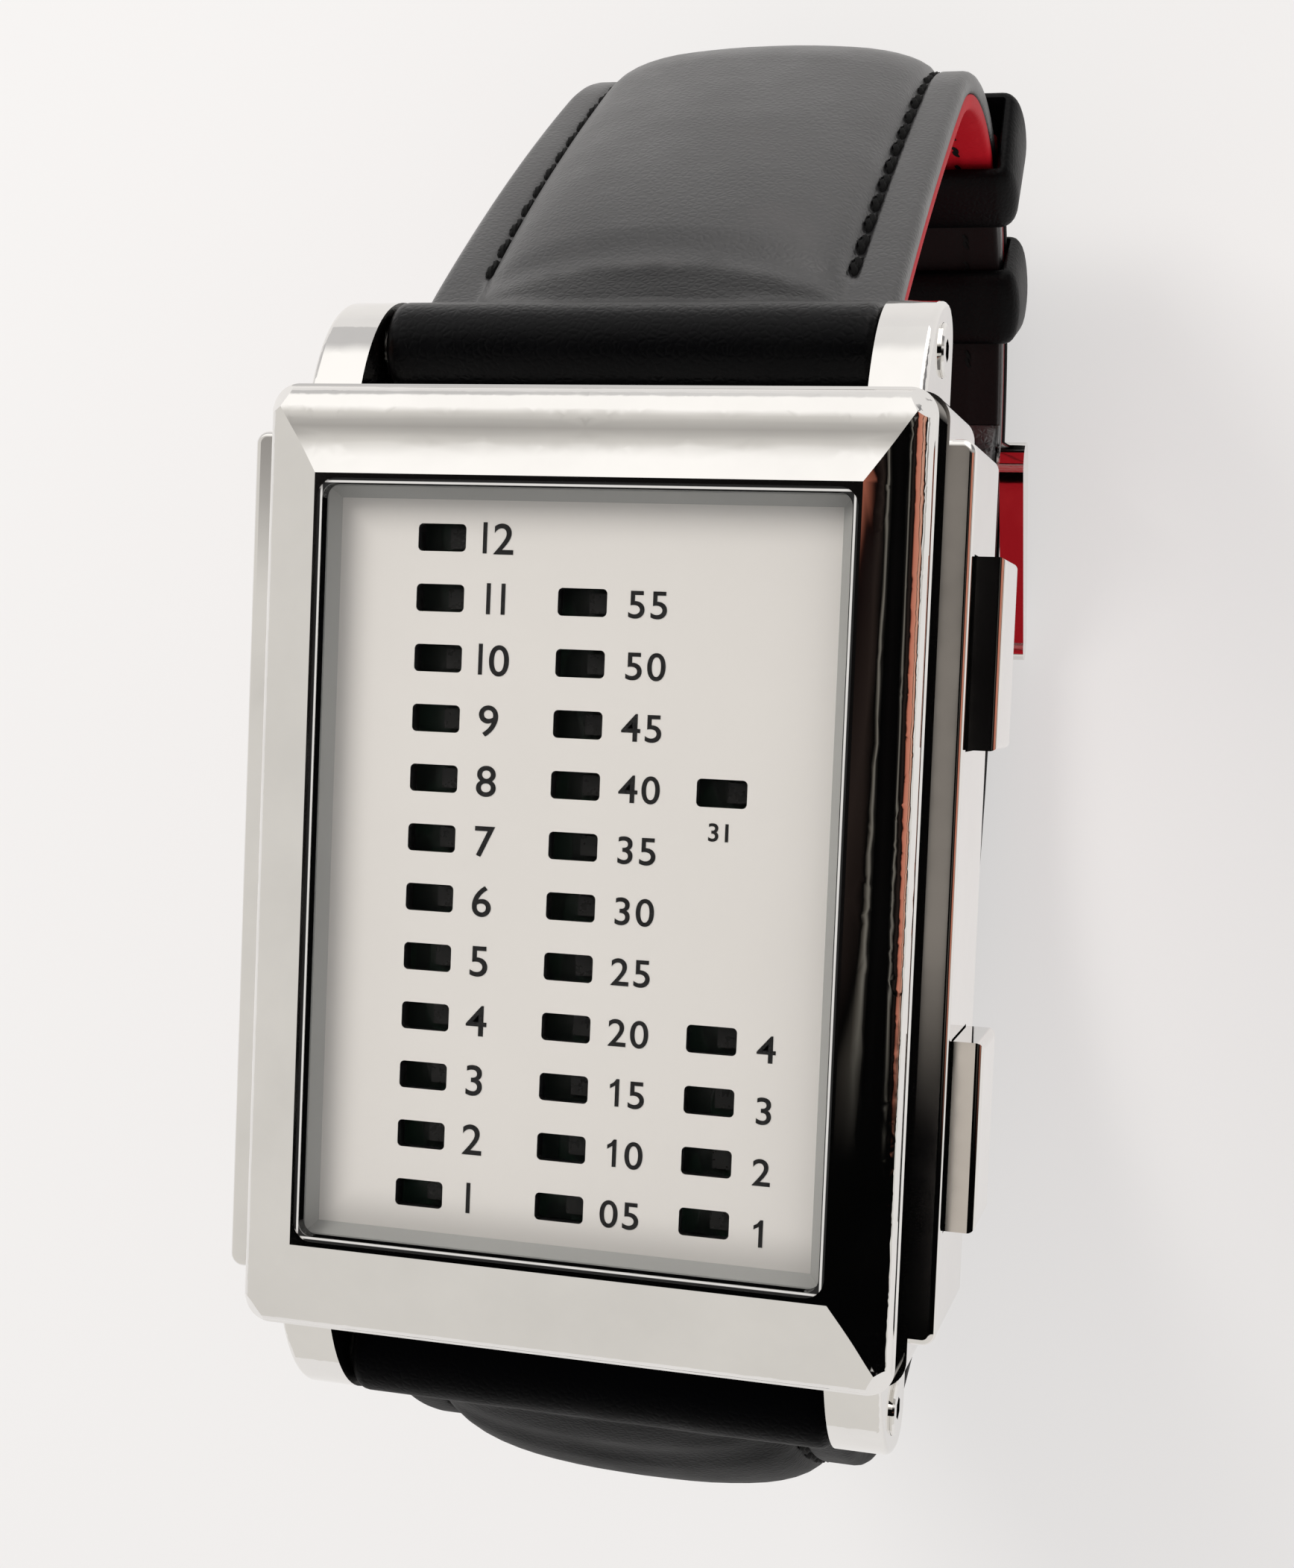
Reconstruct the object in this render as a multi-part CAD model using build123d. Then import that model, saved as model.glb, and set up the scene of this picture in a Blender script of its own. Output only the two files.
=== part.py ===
from build123d import *
import os
from math import cos, pi, radians, sin

# Binary LED watch with its padded strap buckled into a loop.
# Millimetres. The dial faces +Z and 12 o'clock is +Y.
# The origin is the centre of the case back's flat outer face.

os.makedirs("parts", exist_ok=True)

# Case middle
BODY_WIDTH = 31.6
BODY_LENGTH = 44.0
BODY_HEIGHT = 8.55
BODY_CORNER = 1.3
WING_REACH = 1.2
WING_SETBACK = 2.05
WING_CORNER = 0.6
EDGE_ROUND = 0.3
CAVITY_MARGIN_X = 0.14
CAVITY_MARGIN_Y = 0.24
CAVITY_CORNER = 1.5

# Case back and its screws
BACK_THICK = 0.8
BACK_MARGIN = 0.6
BACK_CORNER = 1.5
BACK_BEVEL = 0.3
SPIGOT_HEIGHT = 0.9
SPIGOT_WALL = 1.2
BACK_GASKET = 0.5
BACK_SCREW_WALL_SHARE = 0.4
BACK_SCREW_INSET_Y = 2.4
BACK_SCREW_HEAD_R = 1.1
BACK_SCREW_HEAD_DEPTH = 0.45
BACK_SCREW_R = 0.6
BACK_SCREW_LENGTH = 3.0
SCREW_SLOT_WIDTH = 0.3
SCREW_SLOT_DEPTH = 0.2

# Bezel: a mitred frame with a cushioned outer band and a sloping inner band
BEZEL_SETBACK = 0.3
BEZEL_SIDE_BAR = 3.04
BEZEL_END_BAR = 4.44
BEZEL_CORNER = 1.3
BEZEL_CORNER_TOP = 4.6
BEZEL_RIM = 1.45
BEZEL_RISE = 1.45
OPENING_CORNER = 0.9
LEDGE = 0.16
RIM_ROUND = 0.12
CUSHION_SHARES = [(0.03, 0.0), (0.06, 0.40), (0.20, 0.62), (0.46, 0.66)]
SLOPE_SHARES = [(0.46, 0.66), (0.62, 0.67), (0.80, 0.86), (0.95, 1.0)]
MITRE_OUTER_SHARE = -0.3
MITRE_INNER_SHARE = 1.4

# Glass, gasket, inner flange and dial
CRYSTAL_THICK = 1.0
CRYSTAL_GASKET = 0.24
GASKET_DROP = 0.08
FLANGE_BEVEL = 0.5
DIAL_THICK = 0.4
DIAL_EASE = 0.05
ROW_SHARE = 0.07782
COLUMN_SHARE = 0.27087
SLOT_WIDTH = 2.3
SLOT_HEIGHT = 1.25
SLOT_CORNER = 0.22
ROW_COUNT = 12
SLOT_ROWS = {-1: range(1, 13), 0: range(1, 12), 1: (1, 2, 3, 4, 8)}

# Module behind the dial
BAFFLE_THICK = 1.0
WINDOW_MARGIN = 0.2
BOARD_THICK = 0.8
DIODE_SIZE = 0.9
DIODE_HEIGHT = 0.4
DIODE_OFFSET = 0.5
CHIP_SIZE = 5.0
CHIP_HEIGHT = 1.0
CHIP_PLACE = 5.0
QUARTZ_R = 0.8
QUARTZ_LENGTH = 5.0
HOLDER_EASE = 0.15
HOLDER_LIFT = 1.5
HOLDER_POCKET = 1.7
HOLDER_POCKET_WIDTH = 15.0
HOLDER_POCKET_LENGTH = 19.0
CELL_WALL = 2.6
CELL_HEIGHT = 1.6
CELL_EASE = 0.1
CELL_RIM_STEP = 0.3
CLAMP_WIDTH = 4.0
CLAMP_THICK = 0.25
CLAMP_GRIP = 2.0

# Pushers on the 3 o'clock side
PUSHER_PLACE = 10.7
PUSHER_LENGTH = 8.5
PUSHER_MARGIN_LOW = 2.6
PUSHER_MARGIN_TOP = 1.05
PUSHER_PROUD = 1.4
PUSHER_TRAVEL = 0.8
PUSHER_ROUND = 0.35
POCKET_DEPTH = 1.5
POCKET_EASE = 0.08
STOP_EASE = 0.1
STEM_R = 0.6
STEM_EASE = 0.05
STEM_INSIDE = 0.6
SPRING_R = 1.2
SPRING_WIRE = 0.22
SPRING_TURNS = 4
SPRING_ROOM = 0.1
CAP_BORE_DEPTH = 1.4
SEAL_WIDTH = 0.6
SEAL_R = 1.05
SEAL_INSET = 1.3
SEAL_EASE = 0.02
CLIP_R = 1.15
CLIP_THICK = 0.25
CLIP_MOUTH = 0.8
LEAF_THICK = 0.2
LEAF_WIDTH = 3.0
LEAF_REACH = 3.6
LEAF_GAP = 0.1
NOTCH_WIDTH = 5.0
NOTCH_HEIGHT = 5.2

# Lugs, bars and their screws
LUG_GAP = 24.0
LUG_WIDTH = 2.6
LUG_REACH = 4.95
LUG_DROP = 0.6
LUG_ROOT = 1.5
LUG_TIP_LEVEL = 1.9
LUG_FRONT_SHARES = [(0.0, 1.0), (0.45, 0.87), (1.0, 0.58), (1.0, 0.0)]
LUG_HEEL_SHARES = [(1.0, 0.0), (1.0, -0.55), (0.85, -1.0), (0.62, -1.0)]
BAR_REACH = 2.5
BAR_LEVEL = 3.4
BAR_R = 0.9
BAR_EASE = 0.02
SCREW_HEAD_R = 1.25
SCREW_HEAD_DEPTH = 0.55
SCREW_PROUD = 0.2
SCREW_SOCKET = 0.55
SCREW_SOCKET_DEPTH = 0.4
SCREW_THREAD_R = 0.5
SCREW_THREAD_LENGTH = 2.0

# Strap
STRAP_EASE = 0.1
STRAP_TAPER = 0.4
TAPER_DEPTH = 24.0
LEATHER = 1.3
LINING = 0.9
LUG_END_R = 2.25
LINING_GAP = 0.55
LINING_TIP_SETBACK = 1.0
PAD_MARGIN = 2.1
PAD_SUNK = 0.5
PAD_HEIGHT = 2.0
PAD_CROWN_SHARES = [(1.0, 0.0), (0.93, 0.75), (0.55, 1.0), (0.0, 1.0)]
UPPER_START_ANGLE = -47.9
UPPER_RADII = [184.0, 17.9, 25.9]
UPPER_ANGLES = [9.3, 99.0, 23.8]
LOWER_START_ANGLE = -136.0
LOWER_RADII = [27.0, 48.5]
LOWER_ANGLES = [89.0, 42.0]
PAD_HEIGHT_SHARES = [
    0.84, 0.80, 0.90, 0.98, 1.0, 1.0, 1.0, 1.0, 1.0, 1.0, 0.92, 0.74, 0.44, 0.05,
]
UPPER_PAD_START = 1.4
UPPER_PAD_END = 43.0
LOWER_PAD_START = 1.4
LOWER_PAD_END = 58.0

# Long strap half where it passes through the buckle and over the short half
TAIL_GAP = 0.15
TAIL_OVER_ANGLE = 56.0
TIP_LENGTH = 6.0
TIP_BLUNT = 9.0
HOLE_WIDTH = 2.2
HOLE_LENGTH = 4.2
HOLE_SHIFT = 0.4
HOLE_SPACING = 7.0
HOLES_BACK = 3

# Keepers
KEEPER_WALL = 1.2
KEEPER_WIDTH = 6.5
KEEPER_EASE = 0.3
KEEPER_FIT = 0.08
KEEPER_ROUND = 0.5
FREE_KEEPER_ANGLE = 65.0
FIXED_KEEPER_ANGLE = 96.5

# Buckle
BUCKLE_END_R = 1.6
SPRING_BAR_R = 0.75
PIVOT_EASE = 0.05
ARM_WALL = 1.6
ARM_EASE = 0.25
ARM_INBOARD_R = 1.5
BAR_OVERHANG_Y = 11.7
CROSSBAR_GAP = 0.12
CROSSBAR_R = 1.0
CROSSBAR_WIDTH = 2.8
TANG_THICK = 1.0
TANG_WIDTH = 1.7
TANG_RING_R = 1.35
TANG_SLOT_EASE = 0.3
TANG_STEP_SHARES = [(0.44, 0.0), (0.69, 1.0)]
TANG_OVERHANG = 1.6

# Places that follow from the sizes above
BODY_TOP = BACK_THICK + BODY_HEIGHT
DIAL_TOP = BODY_TOP + BEZEL_RIM
BEZEL_TOP = DIAL_TOP + BEZEL_RISE
WING_WIDTH = BODY_WIDTH + 2 * WING_REACH
WING_LENGTH = BODY_LENGTH - 2 * WING_SETBACK
WING_SIDE = WING_WIDTH / 2
BEZEL_WIDTH = BODY_WIDTH - 2 * BEZEL_SETBACK
BEZEL_LENGTH = BODY_LENGTH
OPENING_WIDTH = BEZEL_WIDTH - 2 * BEZEL_SIDE_BAR
OPENING_LENGTH = BEZEL_LENGTH - 2 * BEZEL_END_BAR
CAVITY_WIDTH = OPENING_WIDTH + 2 * CAVITY_MARGIN_X
CAVITY_LENGTH = OPENING_LENGTH + 2 * CAVITY_MARGIN_Y
ROW_SPACING = OPENING_LENGTH * ROW_SHARE
COLUMN_SPACING = OPENING_WIDTH * COLUMN_SHARE
CRYSTAL_LOW = BEZEL_TOP - CRYSTAL_THICK
FLANGE_WIDTH = OPENING_WIDTH - 2 * LEDGE - 2 * DIAL_EASE
FLANGE_LENGTH = OPENING_LENGTH - 2 * LEDGE - 2 * DIAL_EASE
DIAL_LOW = DIAL_TOP - DIAL_THICK
BAFFLE_LOW = DIAL_LOW - BAFFLE_THICK
BOARD_LOW = BAFFLE_LOW - BOARD_THICK
HOLDER_LOW = BACK_THICK + HOLDER_LIFT
HOLDER_WIDTH = CAVITY_WIDTH - 2 * HOLDER_EASE
HOLDER_LENGTH = CAVITY_LENGTH - 2 * HOLDER_EASE
CELL_R = CAVITY_WIDTH / 2 - CELL_WALL
PUSHER_HEIGHT = BODY_HEIGHT - PUSHER_MARGIN_LOW - PUSHER_MARGIN_TOP
PUSHER_Z = BACK_THICK + PUSHER_MARGIN_LOW + PUSHER_HEIGHT / 2
PUSHER_OUTER = WING_SIDE + PUSHER_PROUD
POCKET_FLOOR = WING_SIDE - POCKET_DEPTH
CAP_INNER = POCKET_FLOOR + PUSHER_TRAVEL + STOP_EASE
STEM_END = CAVITY_WIDTH / 2 - STEM_INSIDE
LEAF_FACE = STEM_END - PUSHER_TRAVEL - LEAF_GAP
BAR_Y = BODY_LENGTH / 2 + BAR_REACH
BAR_Z = BACK_THICK + BAR_LEVEL
LUG_SIDE = LUG_GAP / 2 + LUG_WIDTH
LUG_HEIGHT = BODY_HEIGHT - LUG_DROP
STRAP_WIDTH = LUG_GAP - 2 * STRAP_EASE
STRAP_END_WIDTH = STRAP_WIDTH - 2 * STRAP_TAPER
STRAP_THICK = LEATHER + LINING
LINING_SETBACK = LUG_END_R + LINING_GAP
PAD_HALF_WIDTH = STRAP_END_WIDTH / 2 - PAD_MARGIN
CUT_OVERRUN = 1.0


def save(name, shape):
    """Write one sub-part."""
    export_step(shape, os.path.join("parts", name + ".step"))


def block(width, length, low, high, corner):
    """Upright block centred on the Z axis, with rounded upright corners."""
    return extrude(Plane.XY.offset(low) * RectangleRounded(width, length, corner), amount=high - low)


def rod(radius, x_low, x_high, y, z):
    """Round rod along X."""
    centre = Location(((x_low + x_high) / 2, y, z), (0, 90, 0))
    return centre * Cylinder(radius, x_high - x_low)


def box_between(low, high):
    """Box from its lowest corner to its highest."""
    size = [high[i] - low[i] for i in range(3)]
    middle = [(high[i] + low[i]) / 2 for i in range(3)]
    return Pos(*middle) * Box(*size)


def across(face, half_width):
    """Extrude a side profile, drawn in Y and Z, to both sides of the centre plane."""
    return extrude(Plane.YZ * face, amount=half_width, both=True)


def union(shapes):
    """Fuse a list of shapes."""
    shapes = list(shapes)
    return shapes[0].fuse(*shapes[1:]) if len(shapes) > 1 else shapes[0]


class Bend:
    """One arc of the strap's side profile in Y and Z, drawn at the strap's outer surface.

    side is -1 where the strap turns clockwise and +1 where it turns the other way.
    """

    def __init__(self, start, heading, radius, turn, side):
        self.radius = radius
        self.heading = heading
        self.turn = turn
        self.side = side
        left = (-sin(radians(heading)), cos(radians(heading)))
        self.centre = (start[0] + radius * side * left[0], start[1] + radius * side * left[1])
        self.length = radius * radians(turn)

    def heading_at(self, share):
        return self.heading + self.side * self.turn * share

    def outward(self, share):
        angle = radians(self.heading_at(share))
        return (self.side * sin(angle), -self.side * cos(angle))

    def point(self, share, offset=0.0):
        out = self.outward(share)
        reach = self.radius + offset
        return (self.centre[0] + reach * out[0], self.centre[1] + reach * out[1])

    def edge(self, offset, first=0.0, last=1.0):
        middle = (first + last) / 2
        return ThreePointArc(self.point(first, offset), self.point(middle, offset), self.point(last, offset))


def chain(start, heading, radii, turns, side):
    """Tangent arcs, one after the other."""
    route = []
    for radius, turn in zip(radii, turns):
        route.append(Bend(start, heading, radius, turn, side))
        start = route[-1].point(1)
        heading = route[-1].heading_at(1)
    return route


def along(route, distance):
    """The bend that holds a distance along the route, and the share of that bend."""
    for bend in route[:-1]:
        if distance <= bend.length:
            return bend, distance / bend.length
        distance -= bend.length
    return route[-1], distance / route[-1].length


def taper():
    """Space that narrows both strap halves from the lugs to the buckle's width."""
    start = STRAP_WIDTH / 2
    end = STRAP_END_WIDTH / 2
    high = 2 * LUG_HEIGHT
    low = -3 * STRAP_WIDTH
    outline = Polyline(
        (start, high),
        (start, 0),
        (end, -TAPER_DEPTH),
        (end, low),
        (-end, low),
        (-end, -TAPER_DEPTH),
        (-start, 0),
        (-start, high),
        close=True,
    )
    return extrude(Plane.XZ * make_face(outline.edges()), amount=4 * STRAP_WIDTH, both=True)


def ribbon(route, outer, inner, setback=0.0, short=0.0):
    """Side profile of a strip between two offsets from the route's outer surface."""
    first = [setback / route[0].length] + [0.0] * (len(route) - 1)
    last = [1.0] * (len(route) - 1) + [1.0 - short / route[-1].length]
    if len(route) == 1:
        first, last = [setback / route[0].length], [1.0 - short / route[0].length]
    spans = list(zip(route, first, last))
    edges = [bend.edge(outer, a, b) for bend, a, b in spans]
    edges += [bend.edge(inner, a, b) for bend, a, b in spans]
    edges.append(Line(route[0].point(first[0], outer), route[0].point(first[0], inner)))
    edges.append(Line(route[-1].point(last[-1], outer), route[-1].point(last[-1], inner)))
    return make_face(edges)


def pad(route, start, end):
    """The padded crown of a strap half, lofted through sections square to its route."""
    count = len(PAD_HEIGHT_SHARES)
    sections = []
    for i in range(count):
        bend, share = along(route, start + (end - start) * i / (count - 1))
        heading = radians(bend.heading_at(share))
        here = bend.point(share)
        plane = Plane(
            origin=(0, here[0], here[1]),
            x_dir=(bend.side, 0, 0),
            z_dir=(0, cos(heading), sin(heading)),
        )
        half = PAD_HALF_WIDTH
        top = PAD_HEIGHT * PAD_HEIGHT_SHARES[i]
        crown = [(half * a, top * b) for a, b in PAD_CROWN_SHARES]
        outline = [
            Line((-half, 0), (-half, -PAD_SUNK)),
            Line((-half, -PAD_SUNK), (half, -PAD_SUNK)),
            Line((half, -PAD_SUNK), (half, 0)),
            Bezier(*crown),
            Bezier(*[(-a, b) for a, b in reversed(crown)]),
        ]
        sections.append(plane * make_face(outline))
    return loft(sections, ruled=True)


UPPER = chain((BAR_Y, BAR_Z), UPPER_START_ANGLE, UPPER_RADII, UPPER_ANGLES, -1)
LOWER = chain((-BAR_Y, BAR_Z), LOWER_START_ANGLE, LOWER_RADII, LOWER_ANGLES, 1)
TAIL_LIFT = TAIL_GAP + STRAP_THICK
BUCKLE_PIVOT = UPPER[-1].point(1, -BUCKLE_END_R)


def tail_route():
    """The long half's outer surface where it lies over the short half."""
    lifted_end = UPPER[-1].point(1, TAIL_LIFT)
    heading = UPPER[-1].heading_at(1) + 180
    over_end = Bend(lifted_end, heading, UPPER[-1].radius + TAIL_LIFT, UPPER[-1].turn, 1)
    over_top = Bend(
        over_end.point(1),
        over_end.heading_at(1),
        UPPER[-2].radius + TAIL_LIFT,
        TAIL_OVER_ANGLE,
        1,
    )
    return [over_end, over_top]


TAIL = tail_route()


def crossing(offset):
    """Smooth edge from the end of the lower bends to the start of the tail, at an offset."""
    start = LOWER[-1].point(1, offset)
    end = TAIL[0].point(0, offset)
    reach = ((end[0] - start[0]) ** 2 + (end[1] - start[1]) ** 2) ** 0.5 / 3
    out = radians(LOWER[-1].heading_at(1))
    back = radians(TAIL[0].heading)
    return Bezier(
        start,
        (start[0] + reach * cos(out), start[1] + reach * sin(out)),
        (end[0] - reach * cos(back), end[1] - reach * sin(back)),
        end,
    )


def long_ribbon(outer, inner, setback=0.0, short=0.0):
    """Side profile of the long half: lower bends, crossing and tail in one strip."""
    start = setback / LOWER[0].length
    end = 1 - short / TAIL[-1].length
    edges = []
    for offset in (outer, inner):
        edges.append(LOWER[0].edge(offset, start, 1.0))
        edges.append(LOWER[1].edge(offset))
        edges.append(crossing(offset))
        edges.append(TAIL[0].edge(offset))
        edges.append(TAIL[1].edge(offset, 0.0, end))
    edges.append(Line(LOWER[0].point(start, outer), LOWER[0].point(start, inner)))
    edges.append(Line(TAIL[1].point(end, outer), TAIL[1].point(end, inner)))
    return make_face(edges)


def lug(end, side):
    """One lug: a domed side profile, as wide as the lug, with its bar hole and screw seat."""
    root = BODY_LENGTH / 2 - LUG_ROOT
    body_end = BODY_LENGTH / 2
    tip_z = BACK_THICK + LUG_TIP_LEVEL
    rise = LUG_HEIGHT - LUG_TIP_LEVEL

    def front(share):
        return (body_end + share[0] * LUG_REACH, tip_z + share[1] * rise)

    def heel(share):
        return (body_end + share[0] * LUG_REACH, tip_z + share[1] * LUG_TIP_LEVEL)

    heel_end = heel(LUG_HEEL_SHARES[-1])
    outline = [
        Line((root, BACK_THICK), (root, BACK_THICK + LUG_HEIGHT)),
        Line((root, BACK_THICK + LUG_HEIGHT), front(LUG_FRONT_SHARES[0])),
        Bezier(*[front(s) for s in LUG_FRONT_SHARES]),
        Bezier(*[heel(s) for s in LUG_HEEL_SHARES]),
        Line(heel_end, (root, BACK_THICK)),
    ]
    solid = extrude(Plane.YZ.offset(LUG_GAP / 2) * make_face(outline), amount=LUG_WIDTH)
    outer_rim = solid.faces().sort_by(Axis.X)[-1].edges().filter_by(GeomType.LINE, reverse=True)
    solid = fillet(outer_rim, EDGE_ROUND)
    solid -= rod(BAR_R + BAR_EASE, LUG_GAP / 2 - CUT_OVERRUN, LUG_SIDE + CUT_OVERRUN, BAR_Y, BAR_Z)
    solid -= rod(
        SCREW_HEAD_R + BAR_EASE, LUG_SIDE - SCREW_HEAD_DEPTH, LUG_SIDE + CUT_OVERRUN, BAR_Y, BAR_Z
    )
    if end < 0:
        solid = mirror(solid, Plane.XZ)
    return mirror(solid, Plane.YZ) if side < 0 else solid


def pusher_cut(place):
    """Pocket, bore and seal groove of one pusher."""
    half_length = PUSHER_LENGTH / 2 + POCKET_EASE
    half_height = PUSHER_HEIGHT / 2 + POCKET_EASE
    pocket = box_between(
        (POCKET_FLOOR, place - half_length, PUSHER_Z - half_height),
        (PUSHER_OUTER, place + half_length, PUSHER_Z + half_height),
    )
    cavity_side = CAVITY_WIDTH / 2
    bore = rod(
        STEM_R + STEM_EASE, cavity_side - CUT_OVERRUN, POCKET_FLOOR + CUT_OVERRUN, place, PUSHER_Z
    )
    low = cavity_side + SEAL_INSET
    high = low + SEAL_WIDTH
    groove = rod(SEAL_R + SEAL_EASE, low - SEAL_EASE, high + SEAL_EASE, place, PUSHER_Z)
    return [pocket, bore, groove]


def back_screw_places():
    x = CAVITY_WIDTH / 2 + BACK_SCREW_WALL_SHARE * (BODY_WIDTH - CAVITY_WIDTH) / 2
    y = BODY_LENGTH / 2 - BACK_SCREW_INSET_Y
    return [(x, y), (-x, y), (x, -y), (-x, -y)]


def case_middle():
    body = block(BODY_WIDTH, BODY_LENGTH, BACK_THICK, BODY_TOP, BODY_CORNER)
    wings = block(WING_WIDTH, WING_LENGTH, BACK_THICK, BODY_TOP, WING_CORNER)
    wings = fillet(wings.faces().sort_by(Axis.Z)[-1].edges(), EDGE_ROUND)
    solid = body + wings
    solid += [lug(end, side) for end in (-1, 1) for side in (-1, 1)]
    solid -= block(
        CAVITY_WIDTH, CAVITY_LENGTH, BACK_THICK - CUT_OVERRUN, BODY_TOP + CUT_OVERRUN, CAVITY_CORNER
    )
    for place in (PUSHER_PLACE, -PUSHER_PLACE):
        solid -= pusher_cut(place)
    for x, y in back_screw_places():
        hole_top = BACK_THICK + BACK_SCREW_LENGTH
        hole = Cylinder(BACK_SCREW_R + BAR_EASE, BACK_SCREW_LENGTH + CUT_OVERRUN)
        solid -= Pos(x, y, hole_top - (BACK_SCREW_LENGTH + CUT_OVERRUN) / 2) * hole
    return solid


def bezel_bar_profile(outer, inner):
    """Section across one bar of the bezel, from its outer wall inwards."""

    def at(share, height):
        return (outer - share * (outer - inner), BODY_TOP + height)

    cushion = [at(s, BEZEL_RIM + h * BEZEL_RISE) for s, h in CUSHION_SHARES]
    slope = [at(s, BEZEL_RIM + h * BEZEL_RISE) for s, h in SLOPE_SHARES]
    top = BEZEL_RIM + BEZEL_RISE
    rim_side = at(0, BEZEL_RIM - RIM_ROUND)
    return make_face(
        [
            Line(at(0, 0), rim_side),
            Line(rim_side, cushion[0]),
            Bezier(*cushion),
            Bezier(*slope),
            Line(slope[-1], at(MITRE_INNER_SHARE, top)),
            Line(at(MITRE_INNER_SHARE, top), at(MITRE_INNER_SHARE, 0)),
            Line(at(MITRE_INNER_SHARE, 0), at(0, 0)),
        ]
    )


def bezel_envelope():
    """Space inside the bezel's outer walls, with corners that grow rounder towards the top."""
    level = BODY_TOP + BEZEL_RIM - RIM_ROUND
    foot = Plane.XY.offset(level) * RectangleRounded(BEZEL_WIDTH, BEZEL_LENGTH, BEZEL_CORNER)
    head = Plane.XY.offset(BEZEL_TOP) * RectangleRounded(BEZEL_WIDTH, BEZEL_LENGTH, BEZEL_CORNER_TOP)
    walls = block(BEZEL_WIDTH, BEZEL_LENGTH, BODY_TOP, level, BEZEL_CORNER)
    return walls + loft([foot, head], ruled=True)


def bezel():
    """Four bars cut at the mitre planes, with the glass seat and the lower opening."""
    out_x, out_y = BEZEL_WIDTH / 2, BEZEL_LENGTH / 2
    in_x, in_y = OPENING_WIDTH / 2, OPENING_LENGTH / 2

    def corner(share):
        return (out_x - share * (out_x - in_x), out_y - share * (out_y - in_y))

    far = corner(MITRE_OUTER_SHARE)
    near = corner(MITRE_INNER_SHARE)
    side_wedge = Polyline(far, near, (near[0], -near[1]), (far[0], -far[1]), close=True)
    end_wedge = Polyline(far, near, (-near[0], near[1]), (-far[0], far[1]), close=True)
    tall = BEZEL_RIM + BEZEL_RISE + 2 * CUT_OVERRUN
    floor = Plane.XY.offset(BODY_TOP - CUT_OVERRUN)
    side_bar = extrude(Plane.XZ * bezel_bar_profile(out_x, in_x), amount=BEZEL_LENGTH, both=True)
    side_bar &= extrude(floor * make_face(side_wedge.edges()), amount=tall)
    end_bar = extrude(Plane.YZ * bezel_bar_profile(out_y, in_y), amount=BEZEL_WIDTH, both=True)
    end_bar &= extrude(floor * make_face(end_wedge.edges()), amount=tall)
    solid = side_bar + mirror(side_bar, Plane.YZ) + end_bar + mirror(end_bar, Plane.XZ)
    solid &= bezel_envelope()
    solid -= block(OPENING_WIDTH, OPENING_LENGTH, CRYSTAL_LOW, BEZEL_TOP + CUT_OVERRUN, OPENING_CORNER)
    solid -= block(
        OPENING_WIDTH - 2 * LEDGE,
        OPENING_LENGTH - 2 * LEDGE,
        BODY_TOP - CUT_OVERRUN,
        BEZEL_TOP,
        OPENING_CORNER - LEDGE,
    )
    return solid


def crystal():
    width = OPENING_WIDTH - 2 * CRYSTAL_GASKET
    length = OPENING_LENGTH - 2 * CRYSTAL_GASKET
    return block(width, length, CRYSTAL_LOW, BEZEL_TOP, OPENING_CORNER - CRYSTAL_GASKET)


def crystal_gasket():
    ring = block(OPENING_WIDTH, OPENING_LENGTH, CRYSTAL_LOW, BEZEL_TOP - GASKET_DROP, OPENING_CORNER)
    return ring - crystal()


def inner_flange():
    """Bevelled ring between the glass and the dial."""
    corner = OPENING_CORNER - LEDGE - DIAL_EASE
    ring = block(FLANGE_WIDTH, FLANGE_LENGTH, DIAL_TOP, CRYSTAL_LOW, corner)
    lip = 2 * DIAL_EASE
    top = Plane.XY.offset(CRYSTAL_LOW) * Rectangle(FLANGE_WIDTH - 2 * lip, FLANGE_LENGTH - 2 * lip)
    inset = lip + FLANGE_BEVEL
    low = Plane.XY.offset(DIAL_TOP) * Rectangle(FLANGE_WIDTH - 2 * inset, FLANGE_LENGTH - 2 * inset)
    return ring - loft([low, top], ruled=True)


def slot_places():
    """Centres of the 28 slots: hours, five-minute steps, single minutes and the date."""
    middle = (ROW_COUNT + 1) / 2
    return [
        (column * COLUMN_SPACING, (row - middle) * ROW_SPACING)
        for column, rows in SLOT_ROWS.items()
        for row in rows
    ]


def slotted_plate(low, high, margin, corner):
    """Plate as large as the dial with a rounded window at every slot."""
    plate = block(FLANGE_WIDTH, FLANGE_LENGTH, low, high, OPENING_CORNER - LEDGE - DIAL_EASE)
    window = RectangleRounded(SLOT_WIDTH + 2 * margin, SLOT_HEIGHT + 2 * margin, corner)
    windows = [Pos(x, y, low - CUT_OVERRUN) * window for x, y in slot_places()]
    return plate - [extrude(w, amount=high - low + 2 * CUT_OVERRUN) for w in windows]


def diodes():
    chip = Box(DIODE_SIZE, DIODE_SIZE, DIODE_HEIGHT)
    level = BAFFLE_LOW + DIODE_HEIGHT / 2
    return Compound([Pos(x + DIODE_OFFSET, y, level) * chip for x, y in slot_places()])


def led_board():
    return block(
        FLANGE_WIDTH, FLANGE_LENGTH, BOARD_LOW, BAFFLE_LOW, OPENING_CORNER - LEDGE - DIAL_EASE
    )


def controller_chip():
    return Pos(0, CHIP_PLACE, BOARD_LOW - CHIP_HEIGHT / 2) * Box(CHIP_SIZE, CHIP_SIZE, CHIP_HEIGHT)


def quartz_can():
    place = Location((0, -CHIP_PLACE, BOARD_LOW - QUARTZ_R), (90, 0, 0))
    return place * Cylinder(QUARTZ_R, QUARTZ_LENGTH)


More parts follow.
